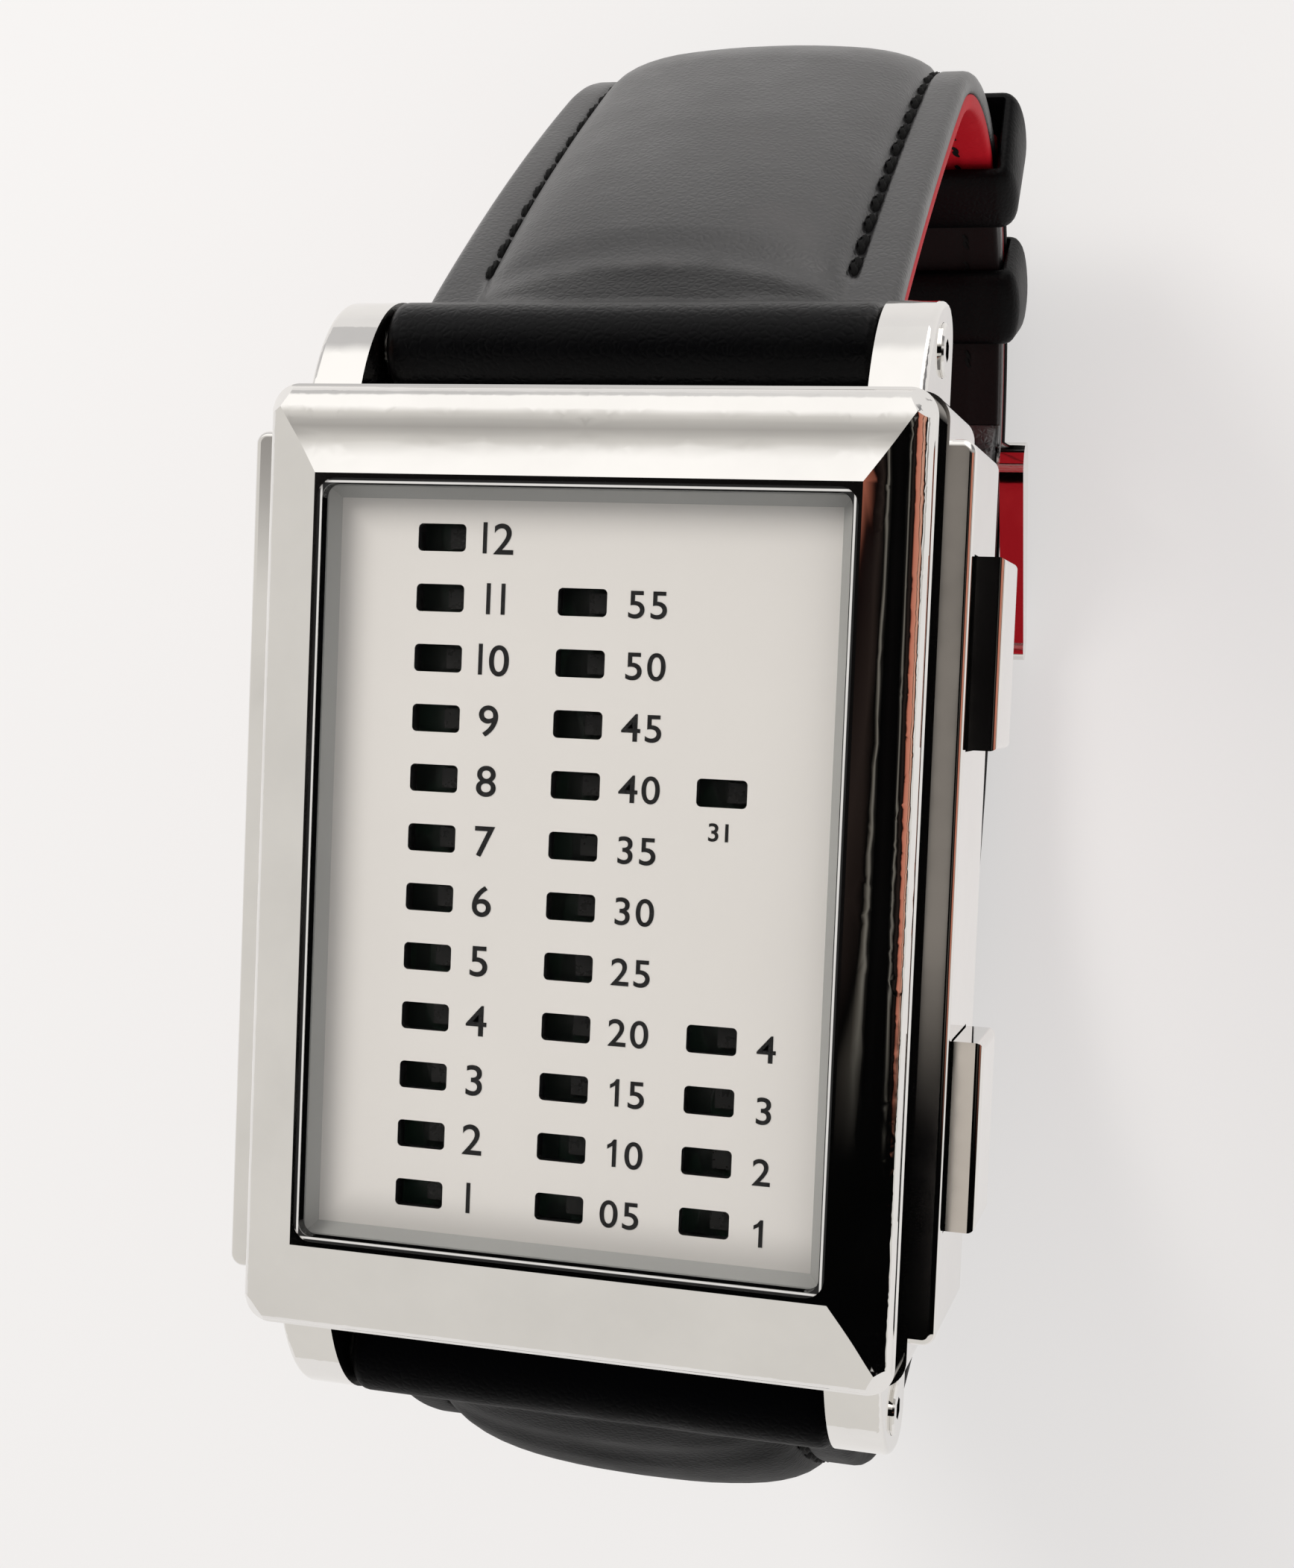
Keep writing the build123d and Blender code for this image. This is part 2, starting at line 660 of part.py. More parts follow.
def module_holder():
    """Moulded block with a pocket for the board's parts, a bay for the cells and pusher notches."""
    corner = CAVITY_CORNER - HOLDER_EASE
    solid = block(HOLDER_WIDTH, HOLDER_LENGTH, HOLDER_LOW, BOARD_LOW, corner)
    solid -= block(
        HOLDER_POCKET_WIDTH,
        HOLDER_POCKET_LENGTH,
        BOARD_LOW - HOLDER_POCKET,
        BOARD_LOW + CUT_OVERRUN,
        CAVITY_CORNER,
    )
    bay_height = 2 * CELL_HEIGHT + CUT_OVERRUN
    bay = Cylinder(CELL_R + CELL_EASE, bay_height)
    solid -= Pos(0, 0, HOLDER_LOW - CUT_OVERRUN + bay_height / 2) * bay
    for place in (PUSHER_PLACE, -PUSHER_PLACE):
        solid -= box_between(
            (
                LEAF_FACE - 2 * LEAF_THICK,
                place - NOTCH_WIDTH / 2,
                PUSHER_Z - NOTCH_HEIGHT / 2,
            ),
            (HOLDER_WIDTH, place + NOTCH_WIDTH / 2, BOARD_LOW + CUT_OVERRUN),
        )
    return solid


def coin_cell(level):
    """Coin cell whose narrower cap faces the board."""
    can = Pos(0, 0, level + CELL_HEIGHT / 2) * Cylinder(CELL_R, CELL_HEIGHT)
    step = Cylinder(CELL_R, CELL_RIM_STEP) - Cylinder(CELL_R - 3 * CELL_RIM_STEP, CELL_RIM_STEP)
    return can - Pos(0, 0, level + CELL_HEIGHT - CELL_RIM_STEP / 2) * step


def battery_clamp():
    """Sprung strip that holds the cells in their bay."""
    length = 2 * (CELL_R + CLAMP_GRIP)
    return box_between(
        (-CLAMP_WIDTH / 2, -length / 2, HOLDER_LOW - CLAMP_THICK),
        (CLAMP_WIDTH / 2, length / 2, HOLDER_LOW),
    )


def contact_leaves():
    """Two leaves that hang from the board in front of the pusher stems."""
    return Compound(
        [
            box_between(
                (LEAF_FACE - LEAF_THICK, place - LEAF_WIDTH / 2, BOARD_LOW - LEAF_REACH),
                (LEAF_FACE, place + LEAF_WIDTH / 2, BOARD_LOW),
            )
            for place in (PUSHER_PLACE, -PUSHER_PLACE)
        ]
    )


def case_back():
    width = BODY_WIDTH - 2 * BACK_MARGIN
    length = BODY_LENGTH - 2 * BACK_MARGIN
    plate = block(width, length, 0, BACK_THICK, BACK_CORNER)
    plate = chamfer(plate.faces().sort_by(Axis.Z)[0].edges(), BACK_BEVEL)
    spigot_width = CAVITY_WIDTH - 2 * BACK_GASKET
    spigot_length = CAVITY_LENGTH - 2 * BACK_GASKET
    corner = CAVITY_CORNER - BACK_GASKET
    spigot = block(spigot_width, spigot_length, BACK_THICK, BACK_THICK + SPIGOT_HEIGHT, corner)
    spigot -= block(
        spigot_width - 2 * SPIGOT_WALL,
        spigot_length - 2 * SPIGOT_WALL,
        BACK_THICK,
        BACK_THICK + SPIGOT_HEIGHT + CUT_OVERRUN,
        corner / 2,
    )
    solid = plate + spigot
    for x, y in back_screw_places():
        bore = Cylinder(BACK_SCREW_R + BAR_EASE, BACK_THICK + CUT_OVERRUN)
        seat = Cylinder(BACK_SCREW_HEAD_R + BAR_EASE, BACK_SCREW_HEAD_DEPTH)
        solid -= Pos(x, y, BACK_THICK / 2) * bore
        solid -= Pos(x, y, BACK_SCREW_HEAD_DEPTH / 2) * seat
    return solid


def back_gasket():
    corner = CAVITY_CORNER - BACK_GASKET
    height = SPIGOT_HEIGHT / 2
    ring = block(CAVITY_WIDTH, CAVITY_LENGTH, BACK_THICK, BACK_THICK + height, CAVITY_CORNER)
    return ring - block(
        CAVITY_WIDTH - 2 * BACK_GASKET,
        CAVITY_LENGTH - 2 * BACK_GASKET,
        BACK_THICK - CUT_OVERRUN,
        BACK_THICK + SPIGOT_HEIGHT,
        corner,
    )


def back_screws():
    head = Pos(0, 0, BACK_SCREW_HEAD_DEPTH / 2) * Cylinder(BACK_SCREW_HEAD_R, BACK_SCREW_HEAD_DEPTH)
    shank_top = BACK_THICK + BACK_SCREW_LENGTH - CUT_OVERRUN
    shank_height = shank_top - BACK_SCREW_HEAD_DEPTH
    shank = Pos(0, 0, BACK_SCREW_HEAD_DEPTH + shank_height / 2) * Cylinder(BACK_SCREW_R, shank_height)
    slot = Pos(0, 0, SCREW_SLOT_DEPTH / 2) * Box(2 * BACK_SCREW_HEAD_R, SCREW_SLOT_WIDTH, SCREW_SLOT_DEPTH)
    screw = head + shank - slot
    return Compound([Pos(x, y, 0) * screw for x, y in back_screw_places()])


def pusher(place):
    """Rectangular cap with its stem through the case wall."""
    cap = box_between(
        (CAP_INNER, place - PUSHER_LENGTH / 2, PUSHER_Z - PUSHER_HEIGHT / 2),
        (PUSHER_OUTER, place + PUSHER_LENGTH / 2, PUSHER_Z + PUSHER_HEIGHT / 2),
    )
    cap = fillet(cap.faces().sort_by(Axis.X)[-1].edges(), PUSHER_ROUND)
    bore_r = SPRING_R + SPRING_WIRE + SPRING_ROOM
    bore_end = CAP_INNER + CAP_BORE_DEPTH
    cap -= rod(bore_r, CAP_INNER, bore_end, place, PUSHER_Z)
    return cap + rod(STEM_R, STEM_END, bore_end + EDGE_ROUND, place, PUSHER_Z)


def pusher_spring(place):
    """Coil in the cap's bore, shorter than the bore so that it clears the pocket floor."""
    length = CAP_BORE_DEPTH - SPRING_WIRE
    pitch = length / SPRING_TURNS
    path = Helix(pitch, length, SPRING_R)
    start = path @ 0
    section = Plane(origin=start, z_dir=path % 0) * Circle(SPRING_WIRE / 2)
    coil = sweep(section, path=path)
    return Location((CAP_INNER + SPRING_WIRE / 2, place, PUSHER_Z), (0, 90, 0)) * coil


def pusher_seal(place):
    low = CAVITY_WIDTH / 2 + SEAL_INSET
    high = low + SEAL_WIDTH
    ring = rod(SEAL_R, low, high, place, PUSHER_Z)
    return ring - rod(STEM_R + SEAL_EASE, low - CUT_OVERRUN, high + CUT_OVERRUN, place, PUSHER_Z)


def pusher_clip(place):
    """Open ring on the stem's inner end that stops the pusher at the case wall."""
    high = CAVITY_WIDTH / 2 - SEAL_EASE
    low = high - CLIP_THICK
    ring = rod(CLIP_R, low, high, place, PUSHER_Z)
    ring -= rod(STEM_R, low - CUT_OVERRUN, high + CUT_OVERRUN, place, PUSHER_Z)
    return ring - box_between(
        (low - CUT_OVERRUN, place - CLIP_MOUTH / 2, PUSHER_Z - CLIP_R - CUT_OVERRUN),
        (high + CUT_OVERRUN, place + CLIP_MOUTH / 2, PUSHER_Z),
    )


def lug_bar(end):
    """Tube across the lugs, tapped at both ends for its screws."""
    half = LUG_SIDE - SCREW_HEAD_DEPTH
    tube = rod(BAR_R, -half, half, end * BAR_Y, BAR_Z)
    for side in (-1, 1):
        inner = half - SCREW_THREAD_LENGTH - CUT_OVERRUN
        ends = sorted((side * inner, side * (half + CUT_OVERRUN)))
        tube -= rod(SCREW_THREAD_R + BAR_EASE, ends[0], ends[1], end * BAR_Y, BAR_Z)
    return tube


def lug_screws():
    """Four socket screws, one in each lug's side."""
    screws = []
    seat = LUG_SIDE - SCREW_HEAD_DEPTH
    top = LUG_SIDE + SCREW_PROUD
    head = rod(SCREW_HEAD_R, seat, top, 0, 0)
    head = chamfer(head.faces().sort_by(Axis.X)[-1].edges(), SCREW_PROUD / 2)
    socket = Plane.YZ.offset(top - SCREW_SOCKET_DEPTH) * RegularPolygon(SCREW_SOCKET, 6)
    head -= extrude(socket, amount=SCREW_SOCKET_DEPTH + CUT_OVERRUN)
    head += rod(SCREW_THREAD_R, seat - SCREW_THREAD_LENGTH, seat, 0, 0)
    for end in (-1, 1):
        placed = Pos(0, end * BAR_Y, BAR_Z) * head
        screws += [placed, mirror(placed, Plane.YZ)]
    return Compound(screws)


def lining_upper(inner_extra=0.0):
    profile = ribbon(UPPER, -LEATHER, -STRAP_THICK - inner_extra, LINING_SETBACK, LINING_SETBACK)
    return across(profile, STRAP_WIDTH / 2 + inner_extra) & taper()


def strap_upper():
    """Short half: lug loop, band, padded crown and the buckle loop with its tang slot."""
    end_half = STRAP_END_WIDTH / 2
    band = across(ribbon(UPPER, 0, -STRAP_THICK), STRAP_WIDTH / 2)
    half = STRAP_WIDTH / 2
    lug_loop = rod(LUG_END_R, -half, half, BAR_Y, BAR_Z)
    buckle_loop = rod(BUCKLE_END_R, -end_half, end_half, *BUCKLE_PIVOT)
    solid = union([band & taper(), lug_loop, buckle_loop, pad(UPPER, UPPER_PAD_START, UPPER_PAD_END)])
    solid -= lining_upper(CUT_OVERRUN)
    reach = half + CUT_OVERRUN
    solid -= rod(BAR_R + BAR_EASE, -reach, reach, BAR_Y, BAR_Z)
    solid -= rod(SPRING_BAR_R + BAR_EASE, -reach, reach, *BUCKLE_PIVOT)
    slot_half = TANG_WIDTH / 2 + TANG_SLOT_EASE
    slot_reach = BUCKLE_END_R + TANG_SLOT_EASE
    solid -= box_between(
        (-slot_half, BUCKLE_PIVOT[0] - slot_reach, BUCKLE_PIVOT[1] - slot_reach),
        (slot_half, BUCKLE_PIVOT[0] + slot_reach, BUCKLE_PIVOT[1] + slot_reach),
    )
    return solid


def lining_lower():
    profile = long_ribbon(
        -LEATHER, -STRAP_THICK, LINING_SETBACK, LINING_TIP_SETBACK
    )
    solid = across(profile, STRAP_WIDTH / 2) & taper()
    return solid - hole_cuts() - tip_cuts()


def hole_middle():
    """Where the tang goes through: the middle of its step, on the strap's own surface."""
    low, high = tang_points()[1:3]
    return ((low[0] + high[0]) / 2 + HOLE_SHIFT, (low[1] + high[1]) / 2)


def hole_cuts():
    """The adjusting holes: the one in use, and the next ones back along the lower bends."""
    centre = hole_middle()
    cuts = []
    slot = SlotOverall(HOLE_LENGTH, HOLE_WIDTH, rotation=90)
    reach = 2 * STRAP_THICK
    cuts.append(extrude(Plane.XY.offset(centre[1]) * Pos(0, centre[0]) * slot, amount=reach, both=True))
    last = LOWER[-1]
    for i in range(1, HOLES_BACK + 1):
        back = i * HOLE_SPACING - (centre[0] - last.point(1)[0])
        share = 1 - back / last.length
        heading = radians(last.heading_at(share))
        here = last.point(share, -STRAP_THICK / 2)
        plane = Plane(
            origin=(0, here[0], here[1]), x_dir=(1, 0, 0), z_dir=(0, sin(heading), -cos(heading))
        )
        cuts.append(extrude(plane * slot, amount=reach, both=True))
    return cuts


def tip_cuts():
    """What is cut off each side of the tail to leave its tapered, blunt tip."""
    bend = TAIL[-1]
    heading = radians(bend.heading_at(1))
    here = bend.point(1, -STRAP_THICK / 2)
    plane = Plane(
        origin=(0, here[0], here[1]), x_dir=(1, 0, 0), z_dir=(0, sin(heading), -cos(heading))
    )
    half = STRAP_END_WIDTH / 2
    cuts = []
    for side in (-1, 1):
        outline = Polyline(
            (side * TIP_BLUNT / 2, CUT_OVERRUN),
            (side * (half + CUT_OVERRUN), CUT_OVERRUN),
            (side * (half + CUT_OVERRUN), -TIP_LENGTH),
            (side * half, -TIP_LENGTH),
            (side * TIP_BLUNT / 2, 0),
            close=True,
        )
        face = plane * make_face(outline.edges())
        cuts.append(extrude(face, amount=3 * STRAP_THICK, both=True))
    return cuts


def strap_lower():
    """Long half: lug loop, band with its holes, padded crown and tapered tail."""
    half = STRAP_WIDTH / 2
    band = across(long_ribbon(0, -STRAP_THICK), half) & taper()
    lug_loop = rod(LUG_END_R, -half, half, -BAR_Y, BAR_Z)
    solid = union([band, lug_loop, pad(LOWER, LOWER_PAD_START, LOWER_PAD_END)])
    under = long_ribbon(
        -LEATHER, -STRAP_THICK - CUT_OVERRUN, LINING_SETBACK, LINING_TIP_SETBACK
    )
    solid -= across(under, half + CUT_OVERRUN)
    solid -= rod(BAR_R + BAR_EASE, -half - CUT_OVERRUN, half + CUT_OVERRUN, -BAR_Y, BAR_Z)
    return solid - hole_cuts() - tip_cuts()


def keeper(middle_angle, ease):
    """Leather loop round both strap halves, bent to the same centre as the strap."""
    bend = UPPER[1]
    half_turn = KEEPER_WIDTH / (bend.radius + TAIL_LIFT) * 180 / pi / 2
    start_share = (middle_angle - half_turn) / bend.turn
    out = bend.outward(start_share)
    plane = Plane(
        origin=(0, bend.centre[0], bend.centre[1]),
        x_dir=(1, 0, 0),
        z_dir=(0, -out[1], out[0]),
    )
    low = bend.radius - STRAP_THICK - ease
    high = bend.radius + TAIL_LIFT + ease
    half = STRAP_END_WIDTH / 2 + ease
    middle = (low + high) / 2
    hole = Pos(0, middle) * Rectangle(2 * half, high - low)
    rim = Pos(0, middle) * RectangleRounded(
        2 * (half + KEEPER_WALL), high - low + 2 * KEEPER_WALL, KEEPER_ROUND
    )
    section = plane * (rim - hole)
    axis = Axis((0, bend.centre[0], bend.centre[1]), (-1, 0, 0))
    return revolve(section, axis=axis, revolution_arc=2 * half_turn)


def crossbar_centre():
    """The outer crossbar lies just outside the long half, where that half leaves the buckle."""
    y = BUCKLE_PIVOT[0] - BAR_OVERHANG_Y
    start, end = LOWER[-1].point(1), TAIL[0].point(0)
    outer = min(start[1], end[1])
    return (y, outer - CROSSBAR_GAP - CROSSBAR_R)


def stadium(first, second, first_r, second_r, half_width):
    """Plate whose side profile is the hull of two circles."""
    circles = [Pos(*first) * Circle(first_r), Pos(*second) * Circle(second_r)]
    outline = make_hull([edge for circle in circles for edge in circle.edges()])
    return across(outline, half_width)


def buckle_frame():
    """Two arms on the spring bar, joined by the outer crossbar."""
    inner = STRAP_END_WIDTH / 2 + ARM_EASE
    outer = inner + ARM_WALL
    bar = crossbar_centre()
    plate = stadium(BUCKLE_PIVOT, bar, ARM_INBOARD_R, CROSSBAR_R, outer)
    reach = 3 * CROSSBAR_WIDTH + BAR_OVERHANG_Y
    gap = box_between(
        (-inner, BUCKLE_PIVOT[0] - reach, bar[1] - reach),
        (inner, BUCKLE_PIVOT[0] + reach, bar[1] + reach),
    )
    arms = plate - gap
    near = (bar[0] + (CROSSBAR_WIDTH - 2 * CROSSBAR_R) / 2, bar[1])
    far = (bar[0] - (CROSSBAR_WIDTH - 2 * CROSSBAR_R) / 2, bar[1])
    frame = arms + stadium(near, far, CROSSBAR_R, CROSSBAR_R, outer)
    frame -= rod(
        SPRING_BAR_R + PIVOT_EASE, -inner - ARM_WALL / 2, inner + ARM_WALL / 2, *BUCKLE_PIVOT
    )
    return frame


def tang_points():
    """Middle line of the tang: pivot, foot and head of its step through the strap, and tip."""
    bar = crossbar_centre()
    tip = (bar[0] - TANG_OVERHANG, bar[1] - CROSSBAR_R - TANG_THICK / 2 - CROSSBAR_GAP / 2)
    span = (tip[0] - BUCKLE_PIVOT[0], tip[1] - BUCKLE_PIVOT[1])
    steps = [
        (BUCKLE_PIVOT[0] + a * span[0], BUCKLE_PIVOT[1] + b * span[1])
        for a, b in TANG_STEP_SHARES
    ]
    return [BUCKLE_PIVOT, steps[0], steps[1], tip]


def buckle_tang():
    points = tang_points()
    radius = TANG_THICK / 2
    half = TANG_WIDTH / 2
    runs = [stadium(a, b, radius, radius, half) for a, b in zip(points[:-1], points[1:])]
    ring = rod(TANG_RING_R, -half, half, *BUCKLE_PIVOT)
    solid = union([ring] + runs)
    reach = half + CUT_OVERRUN
    return solid - rod(SPRING_BAR_R + PIVOT_EASE, -reach, reach, *BUCKLE_PIVOT)


def buckle_bar():
    """Spring bar that carries the buckle and the tang."""
    reach = STRAP_END_WIDTH / 2 + ARM_EASE + ARM_WALL / 2 - PIVOT_EASE
    return rod(SPRING_BAR_R, -reach, reach, *BUCKLE_PIVOT)


def main():
    save("case_middle", case_middle())
    save("bezel", bezel())
    save("crystal", crystal())
    save("crystal_gasket", crystal_gasket())
    save("inner_flange", inner_flange())
    save("dial", slotted_plate(DIAL_LOW, DIAL_TOP, 0, SLOT_CORNER))
    save("light_baffle", slotted_plate(BAFFLE_LOW, DIAL_LOW, WINDOW_MARGIN, SLOT_CORNER))
    save("led_chips", diodes())
    save("led_board", led_board())
    save("controller_chip", controller_chip())
    save("quartz_can", quartz_can())
    save("module_holder", module_holder())
    save("coin_cell_inner", coin_cell(HOLDER_LOW + CELL_HEIGHT))
    save("coin_cell_outer", coin_cell(HOLDER_LOW))
    save("battery_clamp", battery_clamp())
    save("contact_leaves", contact_leaves())
    save("case_back", case_back())
    save("back_gasket", back_gasket())
    save("back_screws", back_screws())
    for name, place in (("upper", PUSHER_PLACE), ("lower", -PUSHER_PLACE)):
        save("pusher_" + name, pusher(place))
        save("pusher_spring_" + name, pusher_spring(place))
        save("pusher_seal_" + name, pusher_seal(place))
        save("pusher_clip_" + name, pusher_clip(place))
    save("lug_bar_upper", lug_bar(1))
    save("lug_bar_lower", lug_bar(-1))
    save("lug_screws", lug_screws())
    save("strap_upper", strap_upper())
    save("lining_upper", lining_upper())
    save("strap_lower", strap_lower())
    save("lining_lower", lining_lower())
    save("keeper_free", keeper(FREE_KEEPER_ANGLE, KEEPER_EASE))
    save("keeper_fixed", keeper(FIXED_KEEPER_ANGLE, KEEPER_FIT))
    save("buckle_frame", buckle_frame())
    save("buckle_tang", buckle_tang())
    save("buckle_bar", buckle_bar())


main()
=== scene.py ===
from itertools import product
from math import atan2, cos, degrees, pi, radians, sin, sqrt

import bmesh
import bpy
from mathutils import Matrix, Vector, noise

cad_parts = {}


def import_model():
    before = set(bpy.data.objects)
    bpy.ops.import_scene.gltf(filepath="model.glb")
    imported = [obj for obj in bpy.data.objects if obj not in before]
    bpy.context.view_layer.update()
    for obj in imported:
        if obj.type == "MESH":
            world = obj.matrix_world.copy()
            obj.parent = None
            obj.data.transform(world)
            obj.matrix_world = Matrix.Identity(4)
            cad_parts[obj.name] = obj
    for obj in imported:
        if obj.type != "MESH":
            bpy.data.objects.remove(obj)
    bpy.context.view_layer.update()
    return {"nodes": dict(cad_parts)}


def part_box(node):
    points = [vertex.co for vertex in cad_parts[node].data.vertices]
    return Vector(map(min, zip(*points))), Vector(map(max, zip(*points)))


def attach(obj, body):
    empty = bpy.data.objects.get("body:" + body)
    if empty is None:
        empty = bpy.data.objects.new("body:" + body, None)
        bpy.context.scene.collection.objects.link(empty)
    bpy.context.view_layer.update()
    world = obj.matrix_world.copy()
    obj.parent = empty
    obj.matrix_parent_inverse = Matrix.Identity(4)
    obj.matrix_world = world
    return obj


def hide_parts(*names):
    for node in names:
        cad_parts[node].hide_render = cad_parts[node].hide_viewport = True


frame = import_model()
NODES = frame["nodes"]
MM = 0.001
SCENE = bpy.context.scene

# Camera of the photograph, in the row frame (millimetres and unit vectors)
CAMERA_PLACE = (29.2934, 9.2043, 106.8692)
CAMERA_RIGHT = (0.963814, 0.040348, -0.263503)
CAMERA_UP = (-0.051763, 0.997991, -0.036521)
CAMERA_BACK = (0.261501, 0.048840, 0.963967)
CAMERA_LENS = 51.355
CAMERA_SENSOR = 36.0

# Strap route, as the CAD solids have it
BAR_Y, BAR_Z, BAR_R = 24.5, 4.2, 0.95
LOOP_R = 2.25
UPPER_START_ANGLE = -47.9
UPPER_RADII = [184.0, 17.9, 25.9]
UPPER_ANGLES = [9.3, 99.0, 23.8]
LOWER_START_ANGLE = -136.0
LOWER_RADII = [27.0, 48.5]
LOWER_ANGLES = [89.0, 42.0]
TAIL_LIFT = 2.35
TAIL_OVER_ANGLE = 56.0
LEATHER, THICK = 1.3, 2.2
LINING_START = 2.8
HALF_WIDTH, END_HALF_WIDTH, TAPER_DEPTH = 11.9, 11.5, 24.0
TIP_LENGTH, TIP_HALF = 6.0, 4.5
BUCKLE_LOOP_R, BUCKLE_BAR_R = 1.6, 0.8
NOTCH_HALF, NOTCH_REACH = 1.15, 1.9
HOLE_WIDTH, HOLE_LENGTH, HOLE_SPACING = 2.2, 4.2, 7.0
HOLE_REACH, TANG_HOLE_REACH = 3.0, 5.0
TANG_HOLE_Y, TANG_HOLE_Z = 17.2514, -49.5

# Padding: heights along the pad, its crown across, and a slow swell of the leather
PAD_HEIGHT = 2.0
PAD_SHARES = [0.84, 0.80, 0.90, 0.98, 1.0, 1.0, 1.0, 1.0, 1.0, 1.0, 0.92, 0.74, 0.44, 0.0]
PAD_CROWN = [(1.0, 0.0), (0.93, 0.75), (0.55, 1.0), (0.0, 1.0)]
CROWN_COUNT, CROWN_START = 12, 0.35
UPPER_PAD = (1.4, 43.0)
LOWER_PAD = (1.4, 58.0)
PAD_ARCH = 2.2
PAD_INSET = 0.2
PAD_CREASE, CREASE_PLACE, CREASE_WIDTH = 0.16, 4.2, 1.6
SWELL, SWELL_ACROSS, SWELL_ALONG, SWELL_SEED = 0.035, 0.35, 0.3, 2.7

# Leather: rounded edges, stitch groove, and the flaps that close it round the bars
STEP = 0.6
EDGE_ROUND, EDGE_ROUND_SHARE = 0.62, 0.5
UNDER_ROUND, UNDER_ROUND_SHARE = 0.22, 0.2
GROOVE_DEPTH, GROOVE_LIP = 0.24, 0.5
GROOVE_WALL = [(0.45, 0.0), (0.30, 0.22), (0.16, 0.85), (-0.04, 1.0)]
GROOVE_START, GROOVE_RISE = 6.2, 0.8
UPPER_GROOVE_END, LOWER_GROOVE_END = (3.5, 1.0), (1.4, 1.2)
BAND_START = 2.5
FLAP_TOP = -0.88
FLAP_PLACES = (2.78, 2.2, 1.4, 0.7, 0.0)
FLAP_INSET, FLAP_GAP, FLAP_LOW, FLAP_ROUNDING = 0.02, 0.03, 0.9, 0.7
LOOP_STEPS = 15
LOOP_UNDERSIDE = [(0.5, 0.8), (0.85, 0.42), (1.0, -0.3), (1.15, -0.86), (1.6, FLAP_TOP), (2.1, FLAP_TOP)]
LOOP_JOIN, LOOP_END = 1.5, 4.0
BUCKLE_STEPS = 12
BUCKLE_FLAP_PLACES = (0.7, 1.5, 2.3, 2.75)
BUCKLE_FLAP_LENGTH, BUCKLE_FLAP_LOW = 2.7, 1.4

# Linings
LINING_EDGE, LINING_GROOVE, LINING_INSET = 0.26, 0.09, 0.12
LINING_BEVEL_X, LINING_BEVEL = 0.05, 0.1
LINING_GAP, LINING_TIP_GAP, LINING_END_STEP = 0.02, 1.0, 0.2

# Stitches
STITCH_X, STITCH_INSET = 9.33, 2.17
STITCH_PITCH, STITCH_LENGTH, STITCH_RADIUS = 2.25, 2.1, 0.19
STITCH_START, UPPER_STITCH_END, LOWER_STITCH_END = 6.6, 4.5, 7.0
STITCH_SUNK, STITCH_SUNK_KEEPER, KEEPER_REACH = 0.10, 0.20, 28.0
STITCH_DIP, STITCH_SLANT, STITCH_THINNING = 0.42, 0.09, 0.25
PLIES, PLY_TURNS, PLY_SPREAD, PLY_LIFT = 2, 1.3, 0.1, 0.07
STITCH_RINGS, STITCH_SIDES = 9, 5

# Keepers: each one's angle on the strap's bend and its play, and half of the bulged section
KEEPER_WIDTH, KEEPER_WALL = 6.5, 1.2
KEEPERS = {"keeper_free": (65.0, 0.3), "keeper_fixed": (96.5, 0.08)}
KEEPER_CORNER_INSET, KEEPER_INNER_R = 0.12, 0.14
KEEPER_CORNER_STEPS = 6
KEEPER_TRIM, KEEPER_RISE_SHARE = 0.02, 0.96
KEEPER_BULGE = [
    (1.0, 0.10), (1.0, 0.28), (0.97, 0.46), (0.90, 0.62), (0.80, 0.76),
    (0.66, 0.87), (0.5, 0.94), (0.34, 0.99), (0.17, 1.02),
]
KEEPER_CREST = (0.0, 1.03)
KEEPER_FOOT = 0.95

# Dial and its printing: heights of the digits, and places of the numerals from the dial's middle
DIAL_TOP = 10.8
ROW_SPACING, MIDDLE_ROW = 2.733, 6.5
COLUMN_SPACING = 6.75
DIGIT_SHARE, DIGIT_WIDE = 0.729, 1.06
PRINT_HALF_DEPTH, PRINT_WEIGHT, PRINT_MIDDLE, PRINT_TOP = 0.008, 0.014, 0.01, 0.018
BAR_STROKE, FLAG_STROKE = 0.19, 0.185
FLAG_RIGHT, FLAG_NIB, FLAG_TOP_WIDTH = 0.22, 0.24, 0.13
FLAG_BEND, FLAG_BEND_DROP, FLAG_DROP, FLAG_INNER_DROP = 0.08, 0.17, 0.26, 0.30
HOUR_LIFT, HOUR_SHIFT, HOUR_DRIFT = 0.03, 0.07, 0.007
HOUR_BAR_HEIGHT, HOUR_HEIGHT = 1.40, 1.44
HOUR_ONE_X, HOUR_X = -4.42, -4.34
ELEVEN_XS = (-4.57, -3.87)
TENS_X, UNITS_X = -4.84, -3.95
MINUTE_LIFT, MINUTE_DRIFT = 0.02, 0.018
MINUTE_ONE_HEIGHT, MINUTE_HEIGHT = 1.24, 1.27
MINUTE_XS = (2.35, 3.38)
SINGLE_ONE_X, SINGLE_ONE_DROP, SINGLE_ONE_HEIGHT = 9.22, 0.19, 1.22
SINGLE_X, SINGLE_DROP, SINGLE_HEIGHT = 9.26, 0.17, 1.24
DAY_COUNT_Y, DAY_COUNT_HEIGHT = 2.4, 0.82

SHARP_ANGLE = radians(50.0)
WELD = 0.000001


# Shader building

